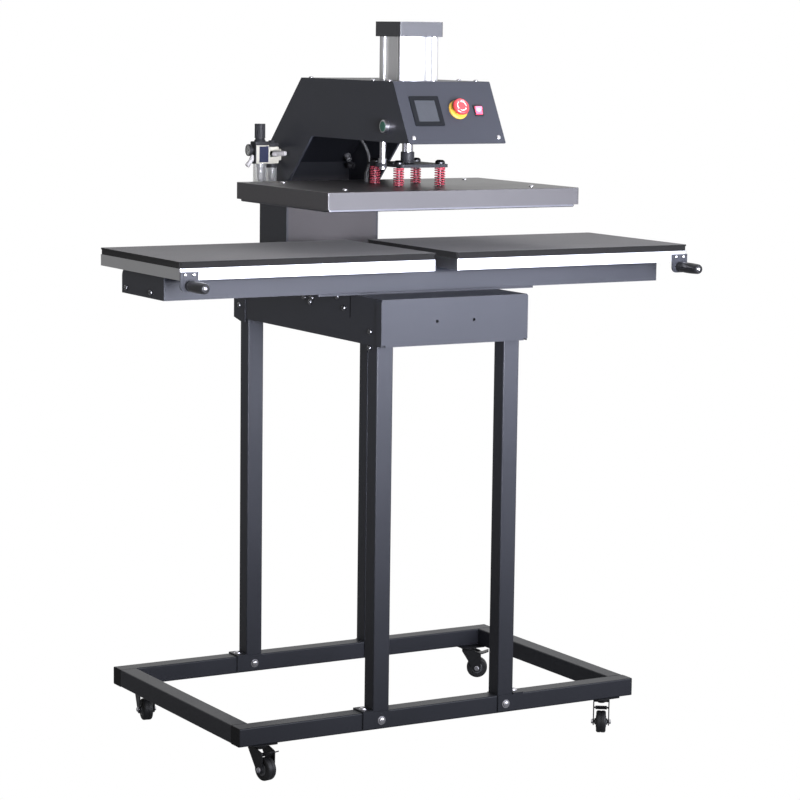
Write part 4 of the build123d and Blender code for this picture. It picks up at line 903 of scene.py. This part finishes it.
class DressStand(bpy.types.Operator):
    """Rails, legs and brackets of the stand, with their bolts and end caps"""

    bl_idname = "press.dress_stand"
    bl_label = "Stand"

    def execute(self, context):
        coat("powder_coat", "long_rails", "side_rails", "legs", "foot_brackets")
        coat("black_plastic", "rail_end_caps")
        saddle_sheet = 0.003
        tongue = 0.025
        rail_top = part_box("long_rails")[1].z
        tongue_reach = LEG_X + TUBE / 2 + tongue / 2
        places = []
        for side_x, side_y in FOUR_WAYS:
            flap = Vector((side_x * LEG_X, side_y * RAIL_Y - TUBE / 2 - saddle_sheet, rail_top - TUBE / 2))
            places.append((BASE + flap, FRONT))
            foot = Vector((side_x * tongue_reach, side_y * RAIL_Y, rail_top + saddle_sheet))
            places.append((BASE + foot, UP))
        radius = context.scene.press_sizes.stand_bolt
        bolts = fasteners("stand_bolt_heads", "dome", radius, "screw_steel", "press_frame", places)
        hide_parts("stand_bolts")
        return {"FINISHED"}


class DressCasters(bpy.types.Operator):
    """Four swivelling casters with their tyres, hubs, axle nuts and pedals"""

    bl_idname = "press.dress_casters"
    bl_label = "Casters"

    def execute(self, context):
        coat("caster_steel", "caster_plates")
        for corner in CORNERS:
            coat("caster_steel", f"{corner}_caster_fork")
            coat("gloss_plastic", f"{corner}_brake_pedal")
            self.dress_wheel(corner)
        return {"FINISHED"}

    def dress_wheel(self, corner):
        """Tyre and hub for one caster, and the nuts on its axle."""
        body = f"{corner}_wheel"
        low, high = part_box(f"{corner}_caster_wheel")
        centre = (low + high) / 2
        radius = (high.z - low.z) / 2 / MM
        trail = middle_of(f"{corner}_brake_pedal") - middle_of(f"{corner}_caster_fork")
        trail.z = 0
        axle = trail.normalized().cross(UP).normalized()
        place = seat(centre, axle)

        half_width, hub_radius, shoulder, groove_depth = 11, 13.5, 4.5, 0.8
        tread = quarter(radius - shoulder, shoulder - half_width, shoulder, shoulder, -90)
        groove = [(radius, -1.2), (radius - groove_depth, -0.8)]
        tyre = lathe(mirrored([(hub_radius, -half_width)] + tread + groove), place, 64, ring=True)
        tyre_piece = piece_from(f"{corner}_tyre", tyre, "tyre_rubber", body)
        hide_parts(f"{corner}_caster_wheel")

        bore, face = 4.08, 15
        hub = [(bore, -face), (6.2, -face), (7.0, 0.6 - face), (7.5, -12.2), (11.5, -11.2), (12.5, -11.8)]
        hub = lathe(mirrored(hub + [(hub_radius, -11.5)]), place, 64, ring=True)
        piece_from(f"{corner}_hub", hub, "wheel_hub", body)

        fork_half, washer, nut = 0.0185, 0.6, 4.0
        nuts = []
        for side in SIDES:
            nut_place = seat(centre + axle * side * fork_half, axle * side)
            nuts.append(lathe(disc(6.2, 0, washer), nut_place, 32))
            nuts.append(lathe([(0, washer), (5.2, washer), (5.2, 3.4), (4.4, nut), (0, nut)], nut_place, 6))
        piece_from(f"{corner}_axle_nuts", joined(nuts), "screw_steel", f"{corner}_fork")


class DressLowerFrame(bpy.types.Operator):
    """Side plates, aprons and deck under the tables, with their screws"""

    bl_idname = "press.dress_lower_frame"
    bl_label = "Lower frame"

    def execute(self, context):
        coat("side_plate_coat", "lower_side_plates")
        coat("powder_coat", "front_apron", "rear_apron", "deck_plate", "bed_plate")
        coat("ground_steel", "bearing_blocks")
        radius = context.scene.press_sizes.plate_screw
        plate_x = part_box("lower_side_plates")[1].x - BASE.x
        apron_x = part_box("rear_apron")[1].x - BASE.x
        screws = ((-23.4, 979.5), (-32, 990), (3.9, 989), (-147, 1003), (-177, 981), (-293, 941))
        places = [beside(side, plate_x, y, z) for side in SIDES for y, z in screws]
        fasteners("side_plate_screws", "button", radius, "black_screw", "press_frame", places)
        places = [beside(side, apron_x, 318, 941.5) for side in SIDES]
        places += [beside(side, LEG_X + TUBE / 2, -285.7, 905.5) for side in SIDES]
        fasteners("leg_and_apron_screws", "button", radius, "black_screw", "press_frame", places)
        return {"FINISHED"}


class DressCarriage(bpy.types.Operator):
    """Sliding channel with its rails and end caps"""

    bl_idname = "press.dress_carriage"
    bl_label = "Carriage"

    def execute(self, context):
        coat("powder_coat", "carriage_channel", "channel_end_caps")
        coat("ground_steel", "guide_rails")
        radius = context.scene.press_sizes.plate_screw
        low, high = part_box("channel_end_caps")
        screw_y, screw_z = (-43, -165), 1029.5
        places = [
            (beyond(Vector((x, BASE.y, 0)), 0, y, screw_z), direction)
            for x, direction in ((low.x, LEFT), (high.x, RIGHT))
            for y in screw_y
        ]
        fasteners("channel_cap_screws", "button", radius, "black_screw", "carriage", places)
        return {"FINISHED"}


class DressTables(bpy.types.Operator):
    """Aluminium tables with their pads, brackets and grips"""

    bl_idname = "press.dress_tables"
    bl_label = "Tables"

    def execute(self, context):
        sizes = context.scene.press_sizes
        coat("table_aluminium", "tables")
        coat("table_pad", "table_pads")
        coat("powder_coat", "handle_brackets")
        low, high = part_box("handle_brackets")
        bracket_width, screw_drop, screw_reach = 0.041, 0.006, 0.010
        bracket_x = (low.x + bracket_width / 2, high.x - bracket_width / 2)
        places = [
            (Vector((x + side * screw_reach, low.y, high.z - screw_drop)), FRONT)
            for x in bracket_x
            for side in SIDES
        ]
        fasteners("bracket_screws", "pan", sizes.bracket_screw, "screw_steel", "carriage", places)
        self.grips(bracket_x, sizes.grip_screw)
        return {"FINISHED"}

    def grips(self, bracket_x, screw_radius):
        """Round grips with a swelled middle, a ringed neck and a screw sunk in the end."""
        low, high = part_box("handle_grips")
        reach = (high.y - low.y) / MM
        radius = (high.z - low.z) / 2 / MM
        axis_z = (low.z + high.z) / 2
        neck, end_round, hole, sunk, slim, steps = 10, 9, 6.2, 3, 0.93, 8
        profile = [(0, 0), (10.4, 0), (11.2, 0.6), (11.2, 4.0), (10.6, 4.8), (10.6, 8.0)]
        for step in range(steps + 1):
            swell = math.sin(math.pi * step / steps)
            along = neck + (reach - neck - end_round) * step / steps
            profile.append((radius * (slim + (1 - slim) * swell), along))
        profile += quarter(hole, reach - end_round, radius * slim - hole, end_round, 0)[1:-1]
        profile += [(6.0, reach), (5.6, reach - 0.5), (5.6, reach - sunk), (0, reach - sunk)]
        grips = [lathe(profile, seat(Vector((x, high.y, axis_z)), FRONT), 40) for x in bracket_x]
        piece = piece_from("table_grips", joined(grips), "gloss_plastic", "carriage")
        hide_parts("handle_grips")
        screws = [(Vector((x, low.y + sunk * MM, axis_z)), FRONT) for x in bracket_x]
        fasteners("grip_screws", "pan", screw_radius, "screw_steel", "carriage", screws)


class DressPressFrame(bpy.types.Operator):
    """Column, hood and cover plates with their screws"""

    bl_idname = "press.dress_press_frame"
    bl_label = "Press frame"

    def execute(self, context):
        coat("powder_coat", "left_side_plate", "right_side_plate", "hood_top")
        coat("powder_coat", "control_panel", "cylinder_mount_plate")
        coat("column_coat", "column_covers")
        radius = context.scene.press_sizes.cover_screw
        top_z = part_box("hood_top")[1].z
        panel_screw, hood_screw_x, hood_screw_y = (105, -60), 108, (115, -165, -235)
        places = [(on_panel(side * panel_screw[0], panel_screw[1]), PANEL_OUT) for side in SIDES]
        for side in SIDES:
            places += [(spot(side * hood_screw_x, y, 0) + UP * top_z, UP) for y in hood_screw_y]
        fasteners("cover_screws", "pan", radius, "screw_steel", "press_frame", places)
        self.throat_fittings()
        return {"FINISHED"}

    def throat_fittings(self):
        """Two plain air fittings deep in the throat: one on the sloping cover, one on the side plate."""
        collar = [(0, 0), (8.0, 0), (8.0, 5.5), (6.8, 6.3), (6.8, 15.0), (5.5, 16.5), (0, 16.5)]
        # The first fitting's nylon is painted dark grey, as painted shade deep in the throat
        pale = lathe(collar, seat(spot(99.8, 320.8, 1283.7), (0, -1, -1)), 32)
        piece_from("throat_fitting", pale, "smoky_nylon", "press_frame")
        plate_point = spot(0, 316.8, 1260)
        plate_point.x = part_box("right_side_plate")[0].x
        dark = lathe(collar, seat(plate_point, LEFT), 32)
        piece_from("throat_plug", dark, "black_plastic", "press_frame")


class DressCylinder(bpy.types.Operator):
    """Air cylinder: tube, caps and tie bolts"""

    bl_idname = "press.dress_cylinder"
    bl_label = "Air cylinder"

    def execute(self, context):
        coat("tube_aluminium", "cylinder_tube")
        coat("black_anodised", "cylinder_caps")
        radius = context.scene.press_sizes.tie_bolt
        low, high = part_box("cylinder_caps")
        centre = (low + high) / 2
        from_edge, sunk = 0.014, 0.0058
        offset = (high.x - low.x) / 2 - from_edge
        places = [
            (Vector((centre.x + side_x * offset, centre.y + side_y * offset, high.z - sunk)), UP)
            for side_x, side_y in FOUR_WAYS
        ]
        fasteners("tie_bolts", "socket", radius, "screw_steel", "press_frame", places)
        return {"FINISHED"}


class DressHead(bpy.types.Operator):
    """Rod, coupler, cross plate and guide post of the moving head"""

    bl_idname = "press.dress_head"
    bl_label = "Press head"

    def execute(self, context):
        coat("polished_steel", "piston_rod")
        coat("post_steel", "guide_post")
        coat("blacked_steel", "rod_coupler", "cross_plate")
        return {"FINISHED"}


class DressPlaten(bpy.types.Operator):
    """Heated platen with its cover, springs, bolts and lead"""

    bl_idname = "press.dress_platen"
    bl_label = "Platen"

    def execute(self, context):
        sizes = context.scene.press_sizes
        coat("platen_enamel", "platen_cover")
        coat("heater_plate", "heating_plate")
        coat("black_bolt", "shoulder_bolts")
        coat("heater_lead", "heater_lead")
        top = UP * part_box("platen_cover")[1].z
        screw_x, screw_y = 233, 140
        places = [(beyond(PRESS, x * screw_x, y * screw_y, 0) + top, UP) for x, y in FOUR_WAYS]
        fasteners("platen_screws", "pan", sizes.cover_screw, "screw_steel", "platen", places)
        self.springs(sizes.spring_wire, sizes.spring_across)
        return {"FINISHED"}

    def springs(self, wire, across):
        """Four compression springs round the shoulder bolts."""
        low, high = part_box("pressure_springs")
        spacing = (high.x - low.x - across) / 2
        active_turns, closed_turns, float_travel = 6.0, 1.0, 0.006
        values = {"Wire radius": wire / 2, "Finish": finish_named("spring_enamel")}
        tree = coil_tree()
        coils = []
        for side_x, side_y in FOUR_WAYS:
            centre = PRESS + Vector((side_x * spacing, side_y * spacing, 0))
            points = coil_points(centre, (across - wire) / 2, low.z, high.z, active_turns, closed_turns, wire)
            path = bpy.data.meshes.new("path")
            path.from_pydata([tuple(p) for p in points], [(i, i + 1) for i in range(len(points) - 1)], [])
            coils.append(grown(tree, path, values))
        piece = piece_from("coil_springs", joined(coils), "spring_enamel", "platen", 60)
        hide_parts("pressure_springs")
        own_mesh(piece)


class DressControls(bpy.types.Operator):
    """Display, emergency stop, power switch and start button"""

    bl_idname = "press.dress_controls"
    bl_label = "Controls"

    def execute(self, context):
        coat("display_frame", "display_unit")
        coat("stop_yellow", "estop_collar")
        coat("black_plastic", "estop_stem", "switch_frame")
        coat("rocker_red", "switch_rocker")
        coat("ground_steel", "start_bezel")
        coat("start_green", "start_button")
        pane = block((49.8, 49.8, 0.7), seat(on_panel(-56.5, 3, 1.35), PANEL_OUT), 0.2, 1)
        piece_from("display_glass", pane, "display_window", "press_frame")
        self.stop_head()
        return {"FINISHED"}

    def stop_head(self):
        """Mushroom head with a finger rim, a low dome inside it and three turn marks."""
        radius, height = 19, 11
        profile = [(0, 0), (12.5, 0), (13.5, 0.6), (14.0, 2.0), (17.2, 2.8), (18.6, 3.8), (radius, 5.2)]
        profile += [(18.8, 7.0), (18.1, 8.8), (16.8, 10.2), (15.2, height), (13.9, 10.7), (13.0, 10.0)]
        profile += [(12.2, 9.5), (9.0, 9.8), (4.5, 10.1), (0, 10.2)]
        foot = on_panel(21.3, 6, 9.5)
        head = lathe(profile, seat(foot, PANEL_OUT), 64)
        piece = piece_from("stop_head", head, "stop_red", "estop_head", 60)
        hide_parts("estop_head")
        inner, outer, barb, mark_height, mark_thickness = 9.8, 10.9, 1.2, 9.4, 0.6
        arc_degrees, arrow_degrees, steps = 80, 13, 8
        mark_place = seat(foot + PANEL_OUT * mark_height * MM, PANEL_OUT)
        marks = []
        for mark in range(3):
            arc = [math.radians(120 * mark + arc_degrees * step / steps) for step in range(steps + 1)]
            tip = ((inner + outer) / 2, arc[-1] + math.radians(arrow_degrees))
            ring = [(outer, a) for a in arc] + [(outer + barb, arc[-1]), tip, (inner - barb, arc[-1])]
            ring += [(inner, a) for a in reversed(arc)]
            outline = [(r * math.cos(a), r * math.sin(a)) for r, a in ring]
            marks.append(plate(outline, mark_thickness, mark_place))
        piece_from("stop_marks", joined(marks), "mark_white", "estop_head")


class DressAirUnit(bpy.types.Operator):
    """Air regulator and lubricator with their gauge, bowls, knob and fittings"""

    bl_idname = "press.dress_air_unit"
    bl_label = "Air unit"

    def execute(self, context):
        coat("clear_bowl", "regulator_bowls")
        coat("black_plastic", "regulator_knob")
        bowls_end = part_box("regulator_bowls")[1]
        knob = middle_of("regulator_knob")
        regulator = Vector((knob.x, knob.y, bowls_end.z))
        bowl_radius = 0.012
        lubricator = Vector((bowls_end.x - bowl_radius, knob.y, bowls_end.z))
        self.bodies(regulator, lubricator)
        self.dark_parts(regulator, lubricator)
        self.bowl_insides(regulator, lubricator)
        self.gauge(regulator)
        self.fittings(regulator, lubricator)
        return {"FINISHED"}

    def bodies(self, regulator, lubricator):
        """Pale castings, and the bare blue plate let into the regulator's front."""
        blocks = [
            block((34.0, 27.4, 42.5), at(regulator, 1, 0.3, 21.25), 2),
            block((25.0, 24.0, 38.5), at(lubricator, z=19.25), 2),
            block((22.5, 0.8, 15.0), at(lubricator, 0, -11.6, 22.5), 0.3),
            block((7.2, 20.0, 26.0), at(lubricator, 15.9, 0, 20), 1),
        ]
        piece = piece_from("air_castings", joined(blocks), "air_body", "press_frame")
        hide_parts("air_regulator")
        front = block((23.0, 0.6, 36.0), at(regulator, 3.5, -13.7, 21.5), 0.2, 1)
        piece_from("regulator_plate", front, "air_blue", "press_frame")

    def dark_parts(self, regulator, lubricator):
        """Bonnet, lubricator cap, cheek and bowl ring in black plastic."""
        bonnet = [(0, 0), (13.6, 0), (13.6, 5.0), (12.8, 8.5), (11.4, 11.0), (10.5, 12.2), (0, 12.8)]
        cap = [(0, 0), (10.8, 0), (10.8, 3.0), (9.2, 4.8), (8.4, 10.5), (7.0, 12.6), (0, 12.8)]
        ring = [(12.15, -9), (12.7, -9), (12.9, -8.2), (12.9, -0.8), (12.7, 0), (12.15, 0)]
        parts = [
            lathe(bonnet, at(regulator, z=44)),
            lathe(cap, at(lubricator, z=40)),
            lathe(disc(10, 0, 3), at(regulator, z=56), 32),
            block((36.0, 28.0, 8.5), at(regulator, z=46.3), 2.2),
            block((25.0, 24.0, 8.5), at(lubricator, z=42.6), 2.2),
            block((2.2, 28.0, 43.0), at(regulator, -16.9, 0, 21.5), 0.7),
            lathe(ring, at(lubricator), 48, ring=True),
        ]
        piece_from("air_dark_parts", joined(parts), "black_plastic", "press_frame")

    def bowl_insides(self, regulator, lubricator):
        """Filter element and dip tube seen through the clear bowls."""
        element = [(0, -40), (4.5, -40), (6.0, -38), (6.2, -8), (8.5, -7), (8.5, 0), (0, 0)]
        dip = [(0, -36), (1.6, -36), (1.6, -4), (6, -3), (6, 0), (0, 0)]
        parts = [lathe(element, at(regulator), 32), lathe(dip, at(lubricator), 24)]
        piece_from("bowl_insides", joined(parts), "pale_nylon", "press_frame")

    def gauge(self, regulator):
        """Pressure gauge: black case, pale dial with plain ticks, pointer and glass."""
        place = seat(beyond(regulator, -18, 0, 31), LEFT)
        centre = Vector((0, 0, 0))
        case = [(0, 0), (5, 0), (5, 6.4), (12.5, 6.4), (13.5, 7.4), (13.5, 12.0)]
        case += [(13.0, 13.0), (11.9, 13.0), (11.7, 10.8), (0, 10.8)]
        piece_from("gauge_case", lathe(case, place), "black_plastic", "press_frame")
        piece_from("gauge_dial", lathe(disc(11.5, 10.7, 11.1), place), "gauge_face", "press_frame")
        ticks, first_tick, tick_step, pointer_turn, scale_radius = 11, -135, 27, 50, 10.4
        short, long, long_every = 1.8, 3.0, 5
        marks = []
        for tick in range(ticks):
            spoke = Matrix.Rotation(math.radians(first_tick + tick_step * tick), 4, "Z")
            reach = short if tick % long_every else long
            tick_place = place @ spoke @ at(centre, 0, scale_radius - reach / 2, 11.15)
            marks.append(block((0.5, reach, 0.2), tick_place, 0.04, 1))
        pointer = [(-0.6, -2.5), (0.6, -2.5), (0.3, 8.0), (-0.3, 8.0)]
        turned = place @ Matrix.Rotation(math.radians(pointer_turn), 4, "Z") @ at(centre, z=11.3)
        marks.append(plate(pointer, 0.3, turned))
        marks.append(lathe(disc(1.4, 11.1, 11.9), place, 24))
        piece_from("gauge_marks", joined(marks), "black_plastic", "press_frame")
        piece_from("gauge_glass", lathe(disc(11.8, 12.2, 12.8), place), "clear_bowl", "press_frame")

    def fittings(self, regulator, lubricator):
        """Push-in fittings: the inlet at the left and the outlet at the front."""
        inlet = [(0, -4), (5.9, -4), (5.9, 7.0), (5.0, 8.0), (5.0, 16.5), (5.8, 17.2), (5.8, 21.5)]
        inlet += [(5.2, 24.0), (4.4, 24.0), (4.1, 22.5), (4.1, 11.0), (0, 11.0)]
        outlet = [(0, -4), (5.9, -4), (5.9, 9.0), (4.8, 10.0), (4.8, 19.0), (5.7, 20.0), (5.7, 32.0)]
        outlet += [(5.0, 35.8), (3.8, 36.0), (3.6, 34.5), (0, 34.5)]
        parts = [
            lathe(inlet, seat(beyond(regulator, -18, 0, 14), (-0.6, 0, -0.8)), 32),
            lathe(outlet, seat(beyond(lubricator, 0, -12, 22), (0.3, -0.95, 0.08)), 32),
        ]
        piece_from("air_fittings", joined(parts), "pale_nylon", "press_frame")


class SetStage(bpy.types.Operator):
    """Floor, lamps, backdrop and the camera"""

    bl_idname = "press.set_stage"
    bl_label = "Stage"

    def execute(self, context):
        stage = context.scene.press_stage
        key, soft = stage.key_tint, stage.soft_tint
        # Name, place and aim in millimetres, width and height in metres, power, tint, spread in degrees
        lamps = (
            ("key_lamp", (1500, -3000, 1420), (0, -200, 1350), 1.9, 2.1, stage.key_power, key, 180),
            ("top_lamp", (1300, -1900, 3300), (0, -200, 1200), 2.0, 2.0, stage.top_power, soft, 180),
            ("front_lamp", (-300, -2600, 1250), (0, -200, 1250), 2.0, 0.9, stage.front_power, soft, 46),
        )
        self.floor()
        for name, place, target, *values in lamps:
            self.lamp(name, spot(*place), spot(*target), *values)
        self.card(stage.card_glow)
        self.world(stage.fill)
        self.camera(stage)
        context.scene.view_settings.view_transform = "Standard"
        return {"FINISHED"}

    def sheet(self, name, corners, material):
        """Flat four-cornered sheet that belongs to the stage."""
        mesh = bpy.data.meshes.new(name)
        mesh.from_pydata(corners, [], [(0, 1, 2, 3)])
        mesh.materials.append(material)
        sheet = linked(name, mesh)
        return sheet

    def floor(self):
        """White floor that looks like the backdrop and sends a little light up from below."""
        half = 30
        paint = Finish("floor_paint")
        shown = paint.rays("Is Camera Ray", "Is Transmission Ray")
        pale = paint.wire("ShaderNodeBsdfDiffuse", inputs={"Color": (0.46, 0.46, 0.46, 1)})
        white = paint.wire("ShaderNodeEmission", inputs={"Color": WHITE, "Strength": 1.0})
        mixed = paint.wire("ShaderNodeMixShader", inputs={0: shown, 1: pale, 2: white})
        corners = [(-half, -half, 0), (half, -half, 0), (half, half, 0), (-half, half, 0)]
        self.sheet("floor", corners, paint.surface(mixed))

    def card(self, glow):
        """Grey card at the left, out of the camera's sight, that keeps the left faces dark."""
        x, front, back, foot, top = -1.7, -1.2, 6.0, 0.02, 4.2
        corners = [(x, front, foot), (x, back, foot), (x, back, top), (x, front, top)]
        paint = Finish("card_paint")
        grey = paint.wire("ShaderNodeEmission", inputs={"Color": WHITE, "Strength": glow})
        card = self.sheet("grey_card", corners, paint.surface(grey))
        card.visible_camera = False

    def lamp(self, name, place, target, width, height, power, tint, spread):
        """Soft rectangular lamp."""
        data = bpy.data.lights.new(name, "AREA")
        data.shape = "RECTANGLE"
        data.size = width
        data.size_y = height
        data.energy = power
        data.color = tint[:3]
        data.spread = math.radians(spread)
        lamp = linked(name, data)
        lamp.location = place
        lamp.rotation_euler = (target - place).to_track_quat("-Z", "Y").to_euler()

    def world(self, fill):
        """White backdrop for the camera and for reflections, and an even fill for everything else."""
        sky = Finish("backdrop", "worlds")
        shown = sky.rays("Is Camera Ray", "Is Glossy Ray", "Is Transmission Ray")
        even = sky.wire("ShaderNodeBackground", inputs={"Color": WHITE, "Strength": fill})
        white = sky.wire("ShaderNodeBackground", inputs={"Color": WHITE})
        mixed = sky.wire("ShaderNodeMixShader", inputs={0: shown, 1: even, 2: white})
        sky.add("ShaderNodeOutputWorld", inputs={"Surface": mixed})
        bpy.context.scene.world = sky.owner

    def camera(self, stage):
        """Camera at the height, distance and heading of the picture."""
        turn, tip, roll = stage.camera_turn, stage.camera_tip, stage.camera_roll
        forward = Vector((math.sin(turn) * math.cos(tip), math.cos(turn) * math.cos(tip), -math.sin(tip)))
        right = Vector((math.cos(turn), -math.sin(turn), 0))
        up = right.cross(forward)
        level_right = right * math.cos(roll) + up * math.sin(roll)
        level_up = up * math.cos(roll) - right * math.sin(roll)
        data = bpy.data.cameras.new("camera")
        data.lens = stage.lens
        data.sensor_width = 36
        data.clip_end = 100
        camera = linked("camera", data)
        axes = Matrix((level_right, level_up, -forward)).transposed()
        eye = spot(-3006.8, -5272.5, 1570.8)
        camera.matrix_world = Matrix.Translation(eye) @ axes.to_4x4()
        bpy.context.scene.camera = camera


class PressPanel(bpy.types.Panel):
    """Sidebar panel that lists the press's settings and steps"""

    bl_idname = "VIEW3D_PT_press"
    bl_label = "Heat press"
    bl_space_type = "VIEW_3D"
    bl_region_type = "UI"
    bl_category = "Heat press"

    def draw(self, context):
        scene = context.scene
        for group in (scene.press_colours, scene.press_sizes, scene.press_stage):
            box = self.layout.box()
            for name in group.__annotations__:
                box.prop(group, name)
        for step in STEPS:
            self.layout.operator(step.bl_idname)


STEPS = (
    SetStage,
    DressStand,
    DressCasters,
    DressLowerFrame,
    DressCarriage,
    DressTables,
    DressPressFrame,
    DressCylinder,
    DressHead,
    DressPlaten,
    DressControls,
    DressAirUnit,
)
CLASSES = (PressColours, PressSizes, PressStage) + STEPS + (PressPanel,)


def register():
    """Register the classes and hang the settings on the scene."""
    for kind in CLASSES:
        bpy.utils.register_class(kind)
    bpy.types.Scene.press_colours = bpy.props.PointerProperty(type=PressColours)
    bpy.types.Scene.press_sizes = bpy.props.PointerProperty(type=PressSizes)
    bpy.types.Scene.press_stage = bpy.props.PointerProperty(type=PressStage)


def unregister():
    """Take the settings and classes away again."""
    del bpy.types.Scene.press_stage
    del bpy.types.Scene.press_sizes
    del bpy.types.Scene.press_colours
    for kind in reversed(CLASSES):
        bpy.utils.unregister_class(kind)


def main():
    """Register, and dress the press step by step."""
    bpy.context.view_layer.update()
    register()
    for step in STEPS:
        area, name = step.bl_idname.split(".")
        getattr(getattr(bpy.ops, area), name)()


if __name__ == "__main__":
    main()
